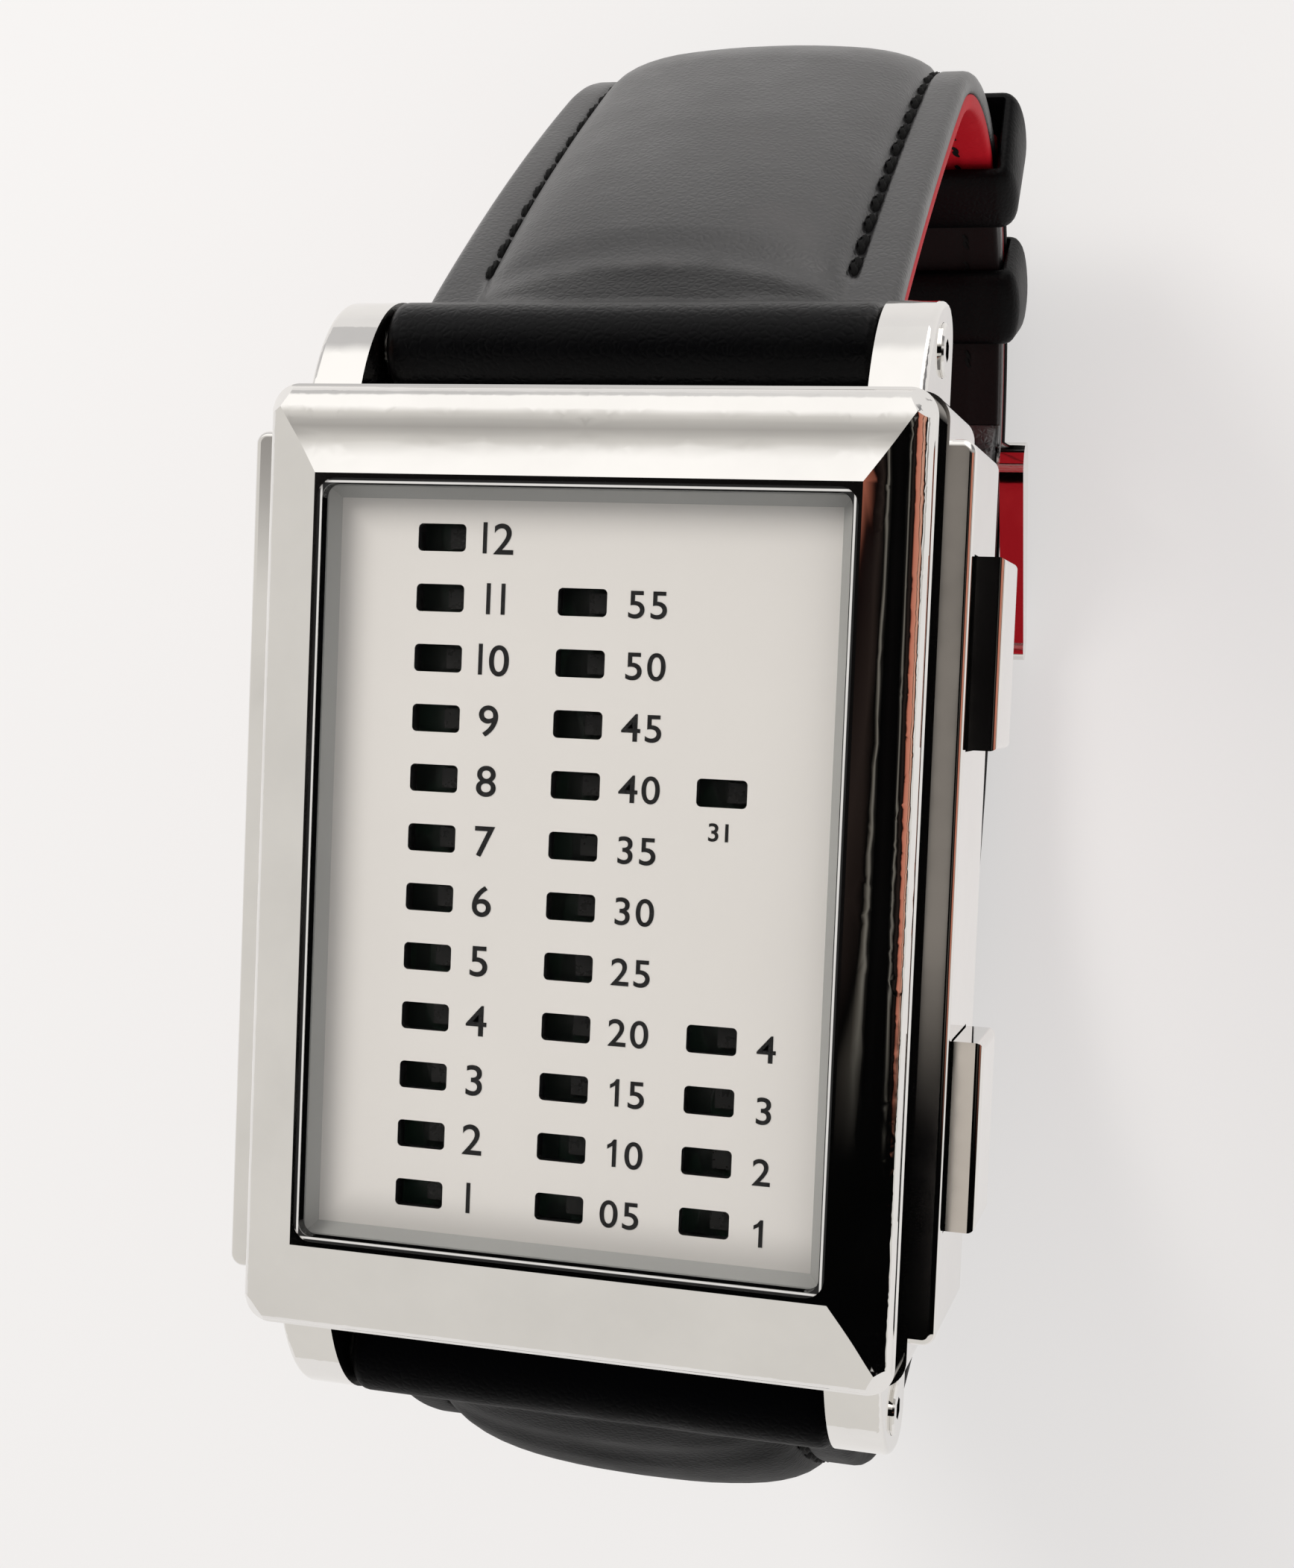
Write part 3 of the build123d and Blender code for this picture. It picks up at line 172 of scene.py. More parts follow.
class Graph:
    """Nodes of one shader tree."""

    def __init__(self, tree):
        self.tree = tree
        tree.nodes.clear()

    def feed(self, socket, value):
        """Link a socket to another node's output, or set its value."""
        if isinstance(value, bpy.types.NodeSocket):
            self.tree.links.new(value, socket)
        else:
            socket.default_value = value

    def add(self, kind, inputs=None, **props):
        node = self.tree.nodes.new("ShaderNode" + kind)
        for key, value in props.items():
            setattr(node, key, value)
        for key, value in (inputs or {}).items():
            self.feed(node.inputs[key], value)
        return node

    def math(self, operation, a, b=0.0, clamp=False):
        return self.add("Math", {0: a, 1: b}, operation=operation, use_clamp=clamp).outputs[0]

    def times(self, first, *more):
        """Product of several values."""
        for value in more:
            first = self.math("MULTIPLY", first, value)
        return first

    def span(self, value, out_low, out_high, low=0.0, high=1.0, kind="LINEAR"):
        """A value mapped from one range to another."""
        node = self.add(
            "MapRange",
            {"Value": value, "From Min": low, "From Max": high, "To Min": out_low, "To Max": out_high},
            interpolation_type=kind,
        )
        return node.outputs["Result"]

    def smooth(self, value, low, high, out_low=0.0, out_high=1.0):
        """Smooth step of a value from one level to another."""
        return self.span(value, out_low, out_high, low, high, "SMOOTHSTEP")

    def noise(self, coords, scale, detail=3.0, rough=0.5):
        return self.add(
            "TexNoise", {"Vector": coords, "Scale": scale, "Detail": detail, "Roughness": rough}
        ).outputs["Fac"]

    def stretched(self, coords, scales):
        return self.add("Mapping", {"Vector": coords, "Scale": scales}).outputs["Vector"]

    def mix(self, fac, a, b):
        node = self.add("Mix", {"Factor": fac}, data_type="RGBA")
        self.feed(node.inputs[6], a)
        self.feed(node.inputs[7], b)
        return node.outputs[2]

    def bump(self, height, distance, strength=1.0):
        inputs = {"Height": height, "Distance": distance, "Strength": strength}
        return self.add("Bump", inputs).outputs["Normal"]

    def axes(self, coords):
        parts = self.add("SeparateXYZ", {0: coords}).outputs
        return parts[0], parts[1], parts[2]

    def from_edges(self, place, low, high):
        """Distance inwards from the nearer of two edges."""
        return self.math("MINIMUM", self.math("SUBTRACT", place, low), self.math("SUBTRACT", high, place))


def linear(level):
    level /= 255
    return level / 12.92 if level <= 0.04045 else ((level + 0.055) / 1.055) ** 2.4


def rgb(red, green, blue):
    """A colour written as it shows on a screen, 0 to 255."""
    return (linear(red), linear(green), linear(blue), 1.0)


def shaded(tone, share):
    """A colour darkened to a share of itself."""
    return tuple(level * share for level in tone[:3]) + (1.0,)


def surface(name, build):
    """Material whose shader sockets come from build(graph, object coordinates)."""
    mat = bpy.data.materials.new(name)
    mat.use_nodes = True
    graph = Graph(mat.node_tree)
    coords = graph.add("TexCoord").outputs["Object"]
    inputs = build(graph, coords)
    shader = graph.add("BsdfPrincipled", inputs).outputs["BSDF"]
    graph.add("OutputMaterial", {"Surface": shader})
    return mat


STEEL = (0.85, 0.835, 0.81, 1.0)
WHITE = (1.0, 1.0, 1.0, 1.0)
MIRROR_ROUGH, BRUSHED_ROUGH = (0.015, 0.045), (0.22, 0.34)
HAIRLINE_DEPTH, BRUSHED_DEPTH, PORE_DEPTH = 0.000004, 0.00001, 0.00003
LEATHER_GRAIN, LINING_GRAIN = 2600.0, 1900.0
# Painted shade on the strap's folded ends: a darker colour and a weaker sheen.
FOLD_SHADE_TONE, FOLD_SHADE_TINT = rgb(4, 4, 5), (0.06, 0.06, 0.06, 1.0)
FOLD_EDGE, FOLD_RAGGED = (0.0026, 0.0041), 0.0016
DIAL_SHADE = (0.0006, 0.0026)
SLOT_WALL_TOP, SLOT_WALL_DEEP = 0.02, 0.06


def polished_steel(g, p):
    """Mirror-bright steel with faint clouds and hairlines."""
    cloud = g.noise(p, 160.0, 4.0, 0.6)
    fine = g.noise(g.stretched(p, (900.0, 60.0, 900.0)), 1.0, 2.0)
    return {
        "Base Color": g.mix(g.span(cloud, 0.0, 1.0, 0.35, 0.75), STEEL, shaded(STEEL, 0.93)),
        "Metallic": 1.0,
        "Roughness": g.span(cloud, *MIRROR_ROUGH, 0.3, 0.7),
        "Normal": g.bump(fine, HAIRLINE_DEPTH, 0.05),
    }


def brushed(tone, along):
    """Steel with a brushed grain along one axis (0, 1 or 2)."""

    def build(g, p):
        scales = [5200.0, 5200.0, 5200.0]
        scales[along] = 90.0
        grain = g.noise(g.stretched(p, tuple(scales)), 1.0, 3.0)
        cloud = g.noise(p, 120.0, 3.0)
        return {
            "Base Color": g.mix(g.span(grain, 0.0, 0.6, 0.3, 0.7), tone, shaded(tone, 0.8)),
            "Metallic": 1.0,
            "Roughness": g.span(cloud, *BRUSHED_ROUGH, 0.3, 0.7),
            "Normal": g.bump(grain, BRUSHED_DEPTH, 0.35),
        }

    return build


def satin_paint(tone, grain_scale, rough, depth=0.000006, spread=0.04):
    """Matte printed or painted face with a fine grain."""

    def build(g, p):
        grain = g.noise(p, grain_scale, 2.0, 0.6)
        cloud = g.noise(p, 90.0, 3.0)
        dark = shaded(tone, 1.0 - 2 * spread)
        return {
            "Base Color": g.mix(g.span(cloud, 0.0, 1.0, 0.3, 0.7), tone, dark),
            "Roughness": g.span(grain, rough - 0.06, rough + 0.06, 0.3, 0.7),
            "Normal": g.bump(grain, depth, 0.5),
        }

    return build


def leather(tone, worn, rough, specular, grain=LEATHER_GRAIN, ends=False):
    """Smooth leather: fine pores, soft creases and slightly paler wear.

    With ends, the folded parts round the lug bars get painted shade: blacker and less shiny than the
    padding.
    """

    def build(g, p):
        cells = g.add(
            "TexVoronoi", {"Vector": p, "Scale": grain}, feature="DISTANCE_TO_EDGE"
        ).outputs["Distance"]
        pores = g.smooth(cells, 0.0, 0.32)
        cloud = g.noise(p, 170.0, 4.0, 0.6)
        crease = g.noise(g.stretched(p, (260.0, 900.0, 900.0)), 1.0, 3.0)
        speck = g.smooth(g.noise(p, 3900.0, 2.0), 0.66, 0.74)
        wear = g.times(g.smooth(cloud, 0.5, 0.75), 0.55)
        wear = g.math("MAXIMUM", wear, g.times(speck, 0.5))
        height = g.math("ADD", g.times(pores, 0.6), g.times(crease, 0.9))
        colour = g.mix(wear, tone, worn)
        inputs = {
            "Roughness": g.span(cloud, *rough, 0.3, 0.7),
            "Specular IOR Level": specular,
            "Normal": g.bump(height, PORE_DEPTH, 0.5),
        }
        # Painted shade: the folded ends are darker and mirror less.
        if ends:
            padded = away_from_bars(g, p)
            colour = g.mix(padded, FOLD_SHADE_TONE, colour)
            inputs["Specular Tint"] = g.mix(padded, FOLD_SHADE_TINT, WHITE)
        inputs["Base Color"] = colour
        return inputs

    return build


def away_from_bars(g, p):
    """0 at the strap's folded ends and 1 on the padding, with an arched line between."""
    x, y, z = g.axes(p)
    across = g.math("DIVIDE", x, STITCH_X * MM)
    arch = g.times(g.math("SUBTRACT", 1.0, g.times(across, across), True), PAD_ARCH * MM)
    beside = g.math("SUBTRACT", g.math("ABSOLUTE", y), BAR_Y * MM)
    over = g.math("SUBTRACT", z, BAR_Z * MM)
    from_bar = g.add("CombineXYZ", {0: beside, 1: over}).outputs[0]
    reach = g.add("VectorMath", {0: from_bar}, operation="LENGTH")
    ragged = g.times(g.math("SUBTRACT", g.noise(p, 420.0, 3.0), 0.5), FOLD_RAGGED)
    reach = g.math("ADD", reach.outputs["Value"], ragged)
    folded = g.smooth(g.math("SUBTRACT", reach, arch), *FOLD_EDGE)
    return g.times(folded, g.smooth(y, -0.015, 0.015, 0.25, 1.0))


def rubbed(axis, first, last, dark):
    """Red lining with painted shade: it darkens towards one place along an axis, inside the strap's loop
    and near the buckle.
    """

    def build(g, p):
        inputs = leather(rgb(182, 20, 34), rgb(202, 44, 52), (0.5, 0.66), 0.14, LINING_GRAIN)(g, p)
        place = g.math("ADD", g.axes(p)[axis], g.times(g.noise(p, 220.0), 0.004))
        # Painted shade mixed in along the axis.
        inputs["Base Color"] = g.mix(g.smooth(place, first, last), inputs["Base Color"], dark)
        return inputs

    return build


def black_thread(g, p):
    fibre = g.noise(p, 9000.0, 2.0)
    tone = rgb(5, 5, 5)
    return {
        "Base Color": g.mix(fibre, tone, shaded(tone, 0.4)),
        "Roughness": 0.75,
        "Specular IOR Level": 0.2,
        "Normal": g.bump(fibre, 0.00002, 0.6),
    }


def board_green(g, p):
    """Green solder mask with copper tracks under it."""
    lines = g.noise(g.stretched(p, (700.0, 240.0, 1.0)), 1.0, 1.0)
    return {
        "Base Color": g.mix(g.smooth(lines, 0.48, 0.52), rgb(10, 20, 15), rgb(15, 34, 24)),
        "Roughness": 0.35,
        "Normal": g.bump(g.smooth(lines, 0.46, 0.54), 0.00003, 0.5),
    }


def dial_face(g, p):
    """Satin dial with painted shade towards the ring round it and on its slot walls."""
    inputs = satin_paint(rgb(227, 222, 217), 6500.0, 0.5, 0.000003, 0.012)(g, p)
    (left, low, _), (_, high, _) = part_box("inner_flange")
    x, y, z = g.axes(p)
    near = g.math("MINIMUM", g.math("SUBTRACT", x, left), g.from_edges(y, low, high))
    # Painted shade near the ring round the dial.
    shade = g.smooth(near, *DIAL_SHADE, 0.28, 0.0)
    face = g.mix(shade, inputs["Base Color"], rgb(96, 94, 92))
    # Painted shade on the slot walls below the dial's top.
    slot_wall_shade = g.smooth(z, (DIAL_TOP - SLOT_WALL_TOP) * MM, (DIAL_TOP - SLOT_WALL_DEEP) * MM)
    inputs["Base Color"] = g.mix(slot_wall_shade, face, rgb(22, 21, 22))
    return inputs


def gasket_rubber(g, p):
    """Black rubber; the ring round the crystal has a painted highlight, a pale line in the middle of its
    width.
    """
    inputs = satin_paint(rgb(12, 12, 13), 2200.0, 0.55, 0.00001)(g, p)
    (left, low, _), (right, high, top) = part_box("crystal_gasket")
    x, y, z = g.axes(p)
    near = g.math("MINIMUM", g.from_edges(x, left, right), g.from_edges(y, low, high))
    # Painted highlight: a pale line along the ring's middle, near its top.
    line = g.times(
        g.smooth(near, 0.00010, 0.00013),
        g.smooth(near, 0.00023, 0.00020),
        g.smooth(z, top - 0.0006, top - 0.0004),
    )
    inputs["Base Color"] = g.mix(line, inputs["Base Color"], rgb(214, 212, 209))
    return inputs


def glass_material():
    """Clear mineral glass that lets the lamps through."""
    mat = bpy.data.materials.new("crystal_glass")
    mat.use_nodes = True
    g = Graph(mat.node_tree)
    path = g.add("LightPath")
    coords = g.add("TexCoord").outputs["Object"]
    smear = g.noise(coords, 120.0, 3.0)
    pane = g.add(
        "BsdfPrincipled",
        {
            "Base Color": (0.99, 0.99, 0.985, 1.0),
            "Roughness": g.span(smear, 0.0, 0.012, 0.45, 0.75),
            "IOR": 1.5,
            "Specular IOR Level": 0.32,
            "Transmission Weight": 1.0,
        },
    ).outputs["BSDF"]
    clear = g.add("BsdfTransparent", {"Color": (0.975, 0.975, 0.97, 1.0)}).outputs["BSDF"]
    passing = g.math("MAXIMUM", path.outputs["Is Shadow Ray"], path.outputs["Is Diffuse Ray"])
    shown = g.add("MixShader", {0: passing, 1: pane, 2: clear}).outputs[0]
    g.add("OutputMaterial", {"Surface": shown})
    return mat


SHADERS = {
    "polished_steel": polished_steel,
    "brushed_steel": brushed((0.72, 0.71, 0.69, 1.0), 1),
    "spring_steel": brushed((0.62, 0.61, 0.6, 1.0), 0),
    "black_rubber": gasket_rubber,
    "flange_grey": satin_paint(rgb(162, 161, 158), 5000.0, 0.42),
    "dial_silver": dial_face,
    "baffle_black": satin_paint(rgb(10, 10, 12), 3000.0, 0.5),
    "diode": satin_paint(rgb(44, 43, 42), 2600.0, 0.3),
    "board_green": board_green,
    "chip_black": satin_paint(rgb(26, 26, 28), 3000.0, 0.45),
    "holder_plastic": satin_paint(rgb(206, 202, 190), 1500.0, 0.5),
    "contact_brass": brushed((0.8, 0.6, 0.3, 1.0), 2),
    "black_leather": leather(rgb(15, 14, 15), rgb(46, 43, 43), (0.28, 0.40), 0.9, ends=True),
    "red_lining": leather(rgb(176, 20, 32), rgb(196, 44, 50), (0.5, 0.66), 0.3, LINING_GRAIN),
}
MATERIALS = {name: surface(name, build) for name, build in SHADERS.items()}
MATERIALS["mineral_glass"] = glass_material()

# Painted shade: the upper lining darkens low down inside the strap's loop, the lower one near the buckle.
UPPER_LINING_SHADED = surface("red_lining_upper_shaded", rubbed(2, -0.032, -0.036, rgb(14, 4, 5)))
LOWER_LINING_SHADED = surface("red_lining_lower_shaded", rubbed(1, 0.007, 0.018, rgb(112, 14, 22)))
# Painted shade: a darker, less shiny copy of the black leather for the long half.
LOWER_LEATHER_SHADED = surface(
    "black_leather_lower", leather(rgb(4, 4, 5), rgb(18, 17, 17), (0.44, 0.56), 0.06, ends=True)
)
KEEPER_LEATHER = surface("keeper_leather", leather(rgb(3, 3, 4), rgb(12, 12, 12), (0.4, 0.5), 0.10))
THREAD = surface("black_thread", black_thread)
PRINT = surface("dial_print", satin_paint(rgb(24, 23, 24), 4000.0, 0.5))

for solid in NODES.values():
    for holder in solid.material_slots:
        slot_name = holder.material.name.split(".")[0] if holder.material else ""
        if slot_name in MATERIALS:
            holder.material = MATERIALS[slot_name]


# Strap route

class Bend:
    """One arc of the strap's side profile in Y and Z, at the strap's outer surface."""

    def __init__(self, start, heading, radius, turn, side):
        self.radius, self.heading, self.turn, self.side = radius, heading, turn, side
        left = (-sin(radians(heading)), cos(radians(heading)))
        self.centre = (start[0] + radius * side * left[0], start[1] + radius * side * left[1])
        self.length = radius * radians(turn)

    def heading_at(self, share):
        return self.heading + self.side * self.turn * share

    def outward(self, share):
        angle = radians(self.heading_at(share))
        return Vector((self.side * sin(angle), -self.side * cos(angle)))

    def point(self, share, offset=0.0):
        return Vector(self.centre) + (self.radius + offset) * self.outward(share)


def chain(start, heading, radii, turns, side):
    route = []
    for radius, turn in zip(radii, turns):
        route.append(Bend(start, heading, radius, turn, side))
        start, heading = route[-1].point(1), route[-1].heading_at(1)
    return route


UPPER = chain((BAR_Y, BAR_Z), UPPER_START_ANGLE, UPPER_RADII, UPPER_ANGLES, -1)
LOWER = chain((-BAR_Y, BAR_Z), LOWER_START_ANGLE, LOWER_RADII, LOWER_ANGLES, 1)
TAIL = chain(
    UPPER[-1].point(1, TAIL_LIFT),
    UPPER[-1].heading_at(1) + 180,
    [UPPER_RADII[2] + TAIL_LIFT, UPPER_RADII[1] + TAIL_LIFT],
    [UPPER_ANGLES[2], TAIL_OVER_ANGLE],
    1,
)


class Station:
    """A place along a strip: its distance, surface point and outward direction in Y and Z."""

    def __init__(self, distance, point, out):
        self.distance, self.point, self.out = distance, Vector(point), Vector(out)

    def half_width(self):
        share = min(max(-self.point[1] / TAPER_DEPTH, 0.0), 1.0)
        return HALF_WIDTH + (END_HALF_WIDTH - HALF_WIDTH) * share


def stations_on(bends, distance=0.0):
    found = []
    for bend in bends:
        count = max(2, int(bend.length / STEP))
        for i in range(count):
            share = i / count
            found.append(Station(distance + bend.length * share, bend.point(share), bend.outward(share)))
        distance += bend.length
    return found, distance


def crossing_stations(distance):
    """The long half's span from its lower bends to the tail, as a cubic."""
    start, end = LOWER[-1].point(1), TAIL[0].point(0)
    reach = (end - start).length / 3
    out, back = radians(LOWER[-1].heading_at(1)), radians(TAIL[0].heading)
    a = start + reach * Vector((cos(out), sin(out)))
    b = end - reach * Vector((cos(back), sin(back)))
    count = int((end - start).length / STEP)
    found = []
    last = start
    for i in range(count):
        t = i / count
        u = 1 - t
        here = start * u ** 3 + a * (3 * u * u * t) + b * (3 * u * t * t) + end * t ** 3
        way = (a - start) * (3 * u * u) + (b - a) * (6 * u * t) + (end - b) * (3 * t * t)
        way.normalize()
        distance += (here - last).length
        last = here
        found.append(Station(distance, here, (way[1], -way[0])))
    return found, distance + (end - last).length


def upper_route():
    found, length = stations_on(UPPER)
    found.append(Station(length, UPPER[-1].point(1), UPPER[-1].outward(1)))
    return found, length


def lower_route():
    found, length = stations_on(LOWER)
    more, length = crossing_stations(length)
    found += more
    more, length = stations_on(TAIL, length)
    found += more
    found.append(Station(length, TAIL[-1].point(1), TAIL[-1].outward(1)))
    return found, length


def station_at(route, distance):
    for a, b in zip(route[:-1], route[1:]):
        if b.distance >= distance:
            t = (distance - a.distance) / max(b.distance - a.distance, 1e-9)
            out = a.out.lerp(b.out, t).normalized()
            return Station(distance, a.point.lerp(b.point, t), out)
    return route[-1]


# Sections of the strap

def ease(value):
    value = min(max(value, 0.0), 1.0)
    return value * value * (3 - 2 * value)


def crown_points():
    """Points of the pad's cross-section from its foot to the middle, as shares."""
    points = []
    for i in range(CROWN_COUNT):
        t = (i + CROWN_START) / (CROWN_COUNT - 1 + CROWN_START)
        u = 1 - t
        weights = (u ** 3, 3 * u * u * t, 3 * u * t * t, t ** 3)
        points.append(tuple(sum(w * c[k] for w, c in zip(weights, PAD_CROWN)) for k in (0, 1)))
    return points


CROWN = crown_points()


def pad_level(distance, pad, x):
    """Height of the padding at a distance along the strap and a place across it."""
    start, end = pad
    last = len(PAD_SHARES) - 1
    share = max((distance - start) / ((end - start) / last), 0.0)
    if share >= last:
        return 0.0
    low = int(share)
    part = share - low
    points = [PAD_SHARES[min(max(low + k, 0), last)] for k in (-1, 0, 1, 2)]
    slope_a, slope_b = (points[2] - points[0]) / 2, (points[3] - points[1]) / 2
    p2, p3 = part * part, part ** 3
    value = (
        points[1] * (2 * p3 - 3 * p2 + 1)
        + slope_a * (p3 - 2 * p2 + part)
        + points[2] * (3 * p2 - 2 * p3)
        + slope_b * (p3 - p2)
    )
    middle = 1 - min(abs(x) / STITCH_X, 1.0) ** 2
    crease = PAD_CREASE * (1 - ((distance - PAD_ARCH * middle - CREASE_PLACE) / CREASE_WIDTH) ** 2)
    return PAD_HEIGHT * min(max(value, 0.0), 1.0) - max(crease, 0.0)


def strap_section(half, top, bottom, distance=0.0, pad=None, groove=0.0, rounding=1.0, fall=0.0):
    """Half of the leather's section, from the bottom's middle round the edge to the top's middle.

    Each point is (x, height) with heights measured from the strap's nominal outer surface; fall is
    how far the section already stands above that surface.
    """
    thick = top - bottom
    edge = min(EDGE_ROUND, thick * EDGE_ROUND_SHARE) * rounding
    under = min(UNDER_ROUND, thick * UNDER_ROUND_SHARE) * rounding
    line = min(STITCH_X, half - STITCH_INSET)
    points = [(0.0, bottom), (half * 0.5, bottom), (half - 2 * under, bottom)]
    points += [(half - 0.6 * under, bottom + 0.25 * under), (half - 0.1 * under, bottom + under)]
    for slope in (0.0, 22.0, 45.0, 68.0, 90.0):
        turn = radians(slope)
        points.append((half - edge * (1 - cos(turn)), top - edge * (1 - sin(turn))))
    points.append(((half - edge + line + GROOVE_LIP) / 2, top))
    for beside, sunk_share in GROOVE_WALL:
        points.append((line + beside, top - sunk_share * GROOVE_DEPTH * groove))
    foot = line - PAD_INSET
    for share, rise in CROWN:
        x = foot * share
        level = pad_level(distance, pad, x) * rise if pad else 0.0
        level = max(level - fall, 0.0)
        dip = 0.8 * GROOVE_DEPTH * groove * max(0.0, 1 - (1 - share) / 0.03)
        swell = SWELL * noise.noise(Vector((x * SWELL_ACROSS, distance * SWELL_ALONG, SWELL_SEED)))
        points.append((x, top + level - dip + swell * min(1.0, rise * 2)))
    return points


def lining_section(half):
    """Half of the lining's section, between the leather's underside and the wrist."""
    top, low = -LEATHER, -THICK
    points = [(0.0, top), (half * 0.5, top), (half - LINING_BEVEL_X, top)]
    points += [(half, top - LINING_BEVEL), (half, low + LINING_EDGE)]
    for slope in (30.0, 60.0, 90.0):
        turn = radians(slope)
        points.append((half - LINING_EDGE * (1 - cos(turn)), low + LINING_EDGE * (1 - sin(turn))))
    line = min(STITCH_X, half - STITCH_INSET)
    points += [(line + 0.5, low), (line + 0.2, low + LINING_GROOVE)]
    points += [(line - 0.2, low + LINING_GROOVE), (line - 0.5, low)]
    points += [(line * 0.6, low), (line * 0.3, low), (0.0, low)]
    return points


def lifted(x, point, out, height):
    """Place in the scene at a height above a point of the strap's side profile."""
    return Vector((x, point[0] + out[0] * height, point[1] + out[1] * height)) * MM


def ring_from(section, point, out):
    """Closed ring of 3-D points from a half section, mirrored to both sides."""
    left = [(-x, h) for x, h in reversed(section[1:-1])]
    return [lifted(x, point, out, h) for x, h in section + left]


def lug_fall(distance):
    """How far the rolled end stands above the band near the lug bar."""
    if distance < LOOP_JOIN:
        return sqrt(LOOP_R ** 2 - distance ** 2)
    if distance >= LOOP_END:
        return 0.0
    span = LOOP_END - LOOP_JOIN
    t = (distance - LOOP_JOIN) / span
    high = sqrt(LOOP_R ** 2 - LOOP_JOIN ** 2)
    slope = -LOOP_JOIN / high * span
    return high * (2 * t ** 3 - 3 * t * t + 1) + slope * (t ** 3 - 2 * t * t + t)


def underside(distance):
    """Height of the leather's underside: the end flap lies close below it near the lug bar."""
    return FLAP_TOP if distance < LINING_START else -LEATHER


def groove_share(distance, left, end, fade):
    """How much of the stitch groove's depth is pressed in: it fades out towards both ends."""
    return ease((distance - GROOVE_START) / GROOVE_RISE) * ease((left - end) / fade)


def pointed(half, left):
    """Half width narrowed towards the tail's tip, from the distance left to it."""
    if left >= TIP_LENGTH:
        return half
    return half + (TIP_HALF - half) * (1 - left / TIP_LENGTH)


# Meshes

def loft(name, rings, mat, closed=False):
    """Mesh through rings of equal length, with its ends closed."""
    size = len(rings[0])
    verts = [v for ring in rings for v in ring]
    faces = []
    pairs = len(rings) if closed else len(rings) - 1
    for i in range(pairs):
        a, b = i * size, ((i + 1) % len(rings)) * size
        for j in range(size):
            k = (j + 1) % size
            faces.append((a + j, a + k, b + k, b + j))
    if not closed:
        faces.append(tuple(reversed(range(size))))
        faces.append(tuple(range((len(rings) - 1) * size, len(rings) * size)))
    return mesh_object(name, verts, faces, mat)


def mark_sharp(bm):
    for edge in bm.edges:
        if len(edge.link_faces) == 2:
            edge.smooth = edge.calc_face_angle() < SHARP_ANGLE


def mesh_object(name, verts, faces, mat):
    """Object of one mesh, with doubled points joined, faces turned outwards and sharp edges kept."""
    mesh = bpy.data.meshes.new(name)
    mesh.from_pydata(verts, [], faces)
    bm = bmesh.new()
    bm.from_mesh(mesh)
    bmesh.ops.remove_doubles(bm, verts=bm.verts, dist=WELD)
    bmesh.ops.recalc_face_normals(bm, faces=bm.faces)
    for face in bm.faces:
        face.smooth = True
    mark_sharp(bm)
    bm.to_mesh(mesh)
    bm.free()
    mesh.materials.append(mat)
    obj = bpy.data.objects.new(name, mesh)
    SCENE.collection.objects.link(obj)
    return obj


def lug_rings(route, side_sign):
    """The leather from its end flap, round the lug bar and down to the band."""
    rings = []
    for distance in FLAP_PLACES:
        here = station_at(route, distance)
        top = THICK + FLAP_GAP
        section = strap_section(HALF_WIDTH - FLAP_INSET, top, FLAP_LOW, distance, rounding=FLAP_ROUNDING)
        rings.append(ring_from(section, here.point, -here.out))
    first = route[0]
    start = atan2(-first.out[1], -first.out[0])
    section = strap_section(HALF_WIDTH, LOOP_R, BAR_R)
    for i in range(1, LOOP_STEPS + 1):
        angle = start - side_sign * pi * i / LOOP_STEPS
        rings.append(ring_from(section, first.point, Vector((cos(angle), sin(angle)))))
    for distance, bottom in LOOP_UNDERSIDE:
        here = station_at(route, distance)
        fall = lug_fall(distance)
        pad = LOWER_PAD if distance > LOWER_PAD[0] else None
        section = strap_section(HALF_WIDTH, fall, bottom, distance, pad, fall=fall)
        rings.append(ring_from(section, here.point, here.out))
    return rings


def buckle_rings(route, length):
    """The short half's leather round the buckle bar, and its end flap."""
    last = route[-1]
    centre = last.point - last.out * BUCKLE_LOOP_R
    start = atan2(last.out[1], last.out[0])
    section = strap_section(END_HALF_WIDTH, BUCKLE_LOOP_R, BUCKLE_BAR_R)
    rings = []
    for i in range(BUCKLE_STEPS + 1):
        angle = start + pi * i / BUCKLE_STEPS
        rings.append(ring_from(section, centre, Vector((cos(angle), sin(angle)))))
    for distance in BUCKLE_FLAP_PLACES:
        here = station_at(route, length - distance)
        narrowing = (2 * BUCKLE_LOOP_R - THICK) * ease(distance / BUCKLE_FLAP_LENGTH)
        top = 2 * BUCKLE_LOOP_R - narrowing
        section = strap_section(END_HALF_WIDTH, top, BUCKLE_FLAP_LOW, rounding=FLAP_ROUNDING)
        rings.append(ring_from(section, here.point, -here.out))
    return rings


def strap_upper(route, length):
    rings = lug_rings(route, 1)
    loop_start = length - BUCKLE_LOOP_R
    for here in route:
        s = here.distance
        if not BAND_START < s < length:
            continue
        bottom = underside(s)
        bottom += ease((s - loop_start) / BUCKLE_LOOP_R) * (LEATHER - BUCKLE_BAR_R)
        groove = groove_share(s, length - s, *UPPER_GROOVE_END)
        fall = lug_fall(s)
        section = strap_section(here.half_width(), fall, bottom, s, UPPER_PAD, groove, fall=fall)
        rings.append(ring_from(section, here.point, here.out))
    rings += buckle_rings(route, length)
    return loft("strap_upper_leather", rings, MATERIALS["black_leather"])


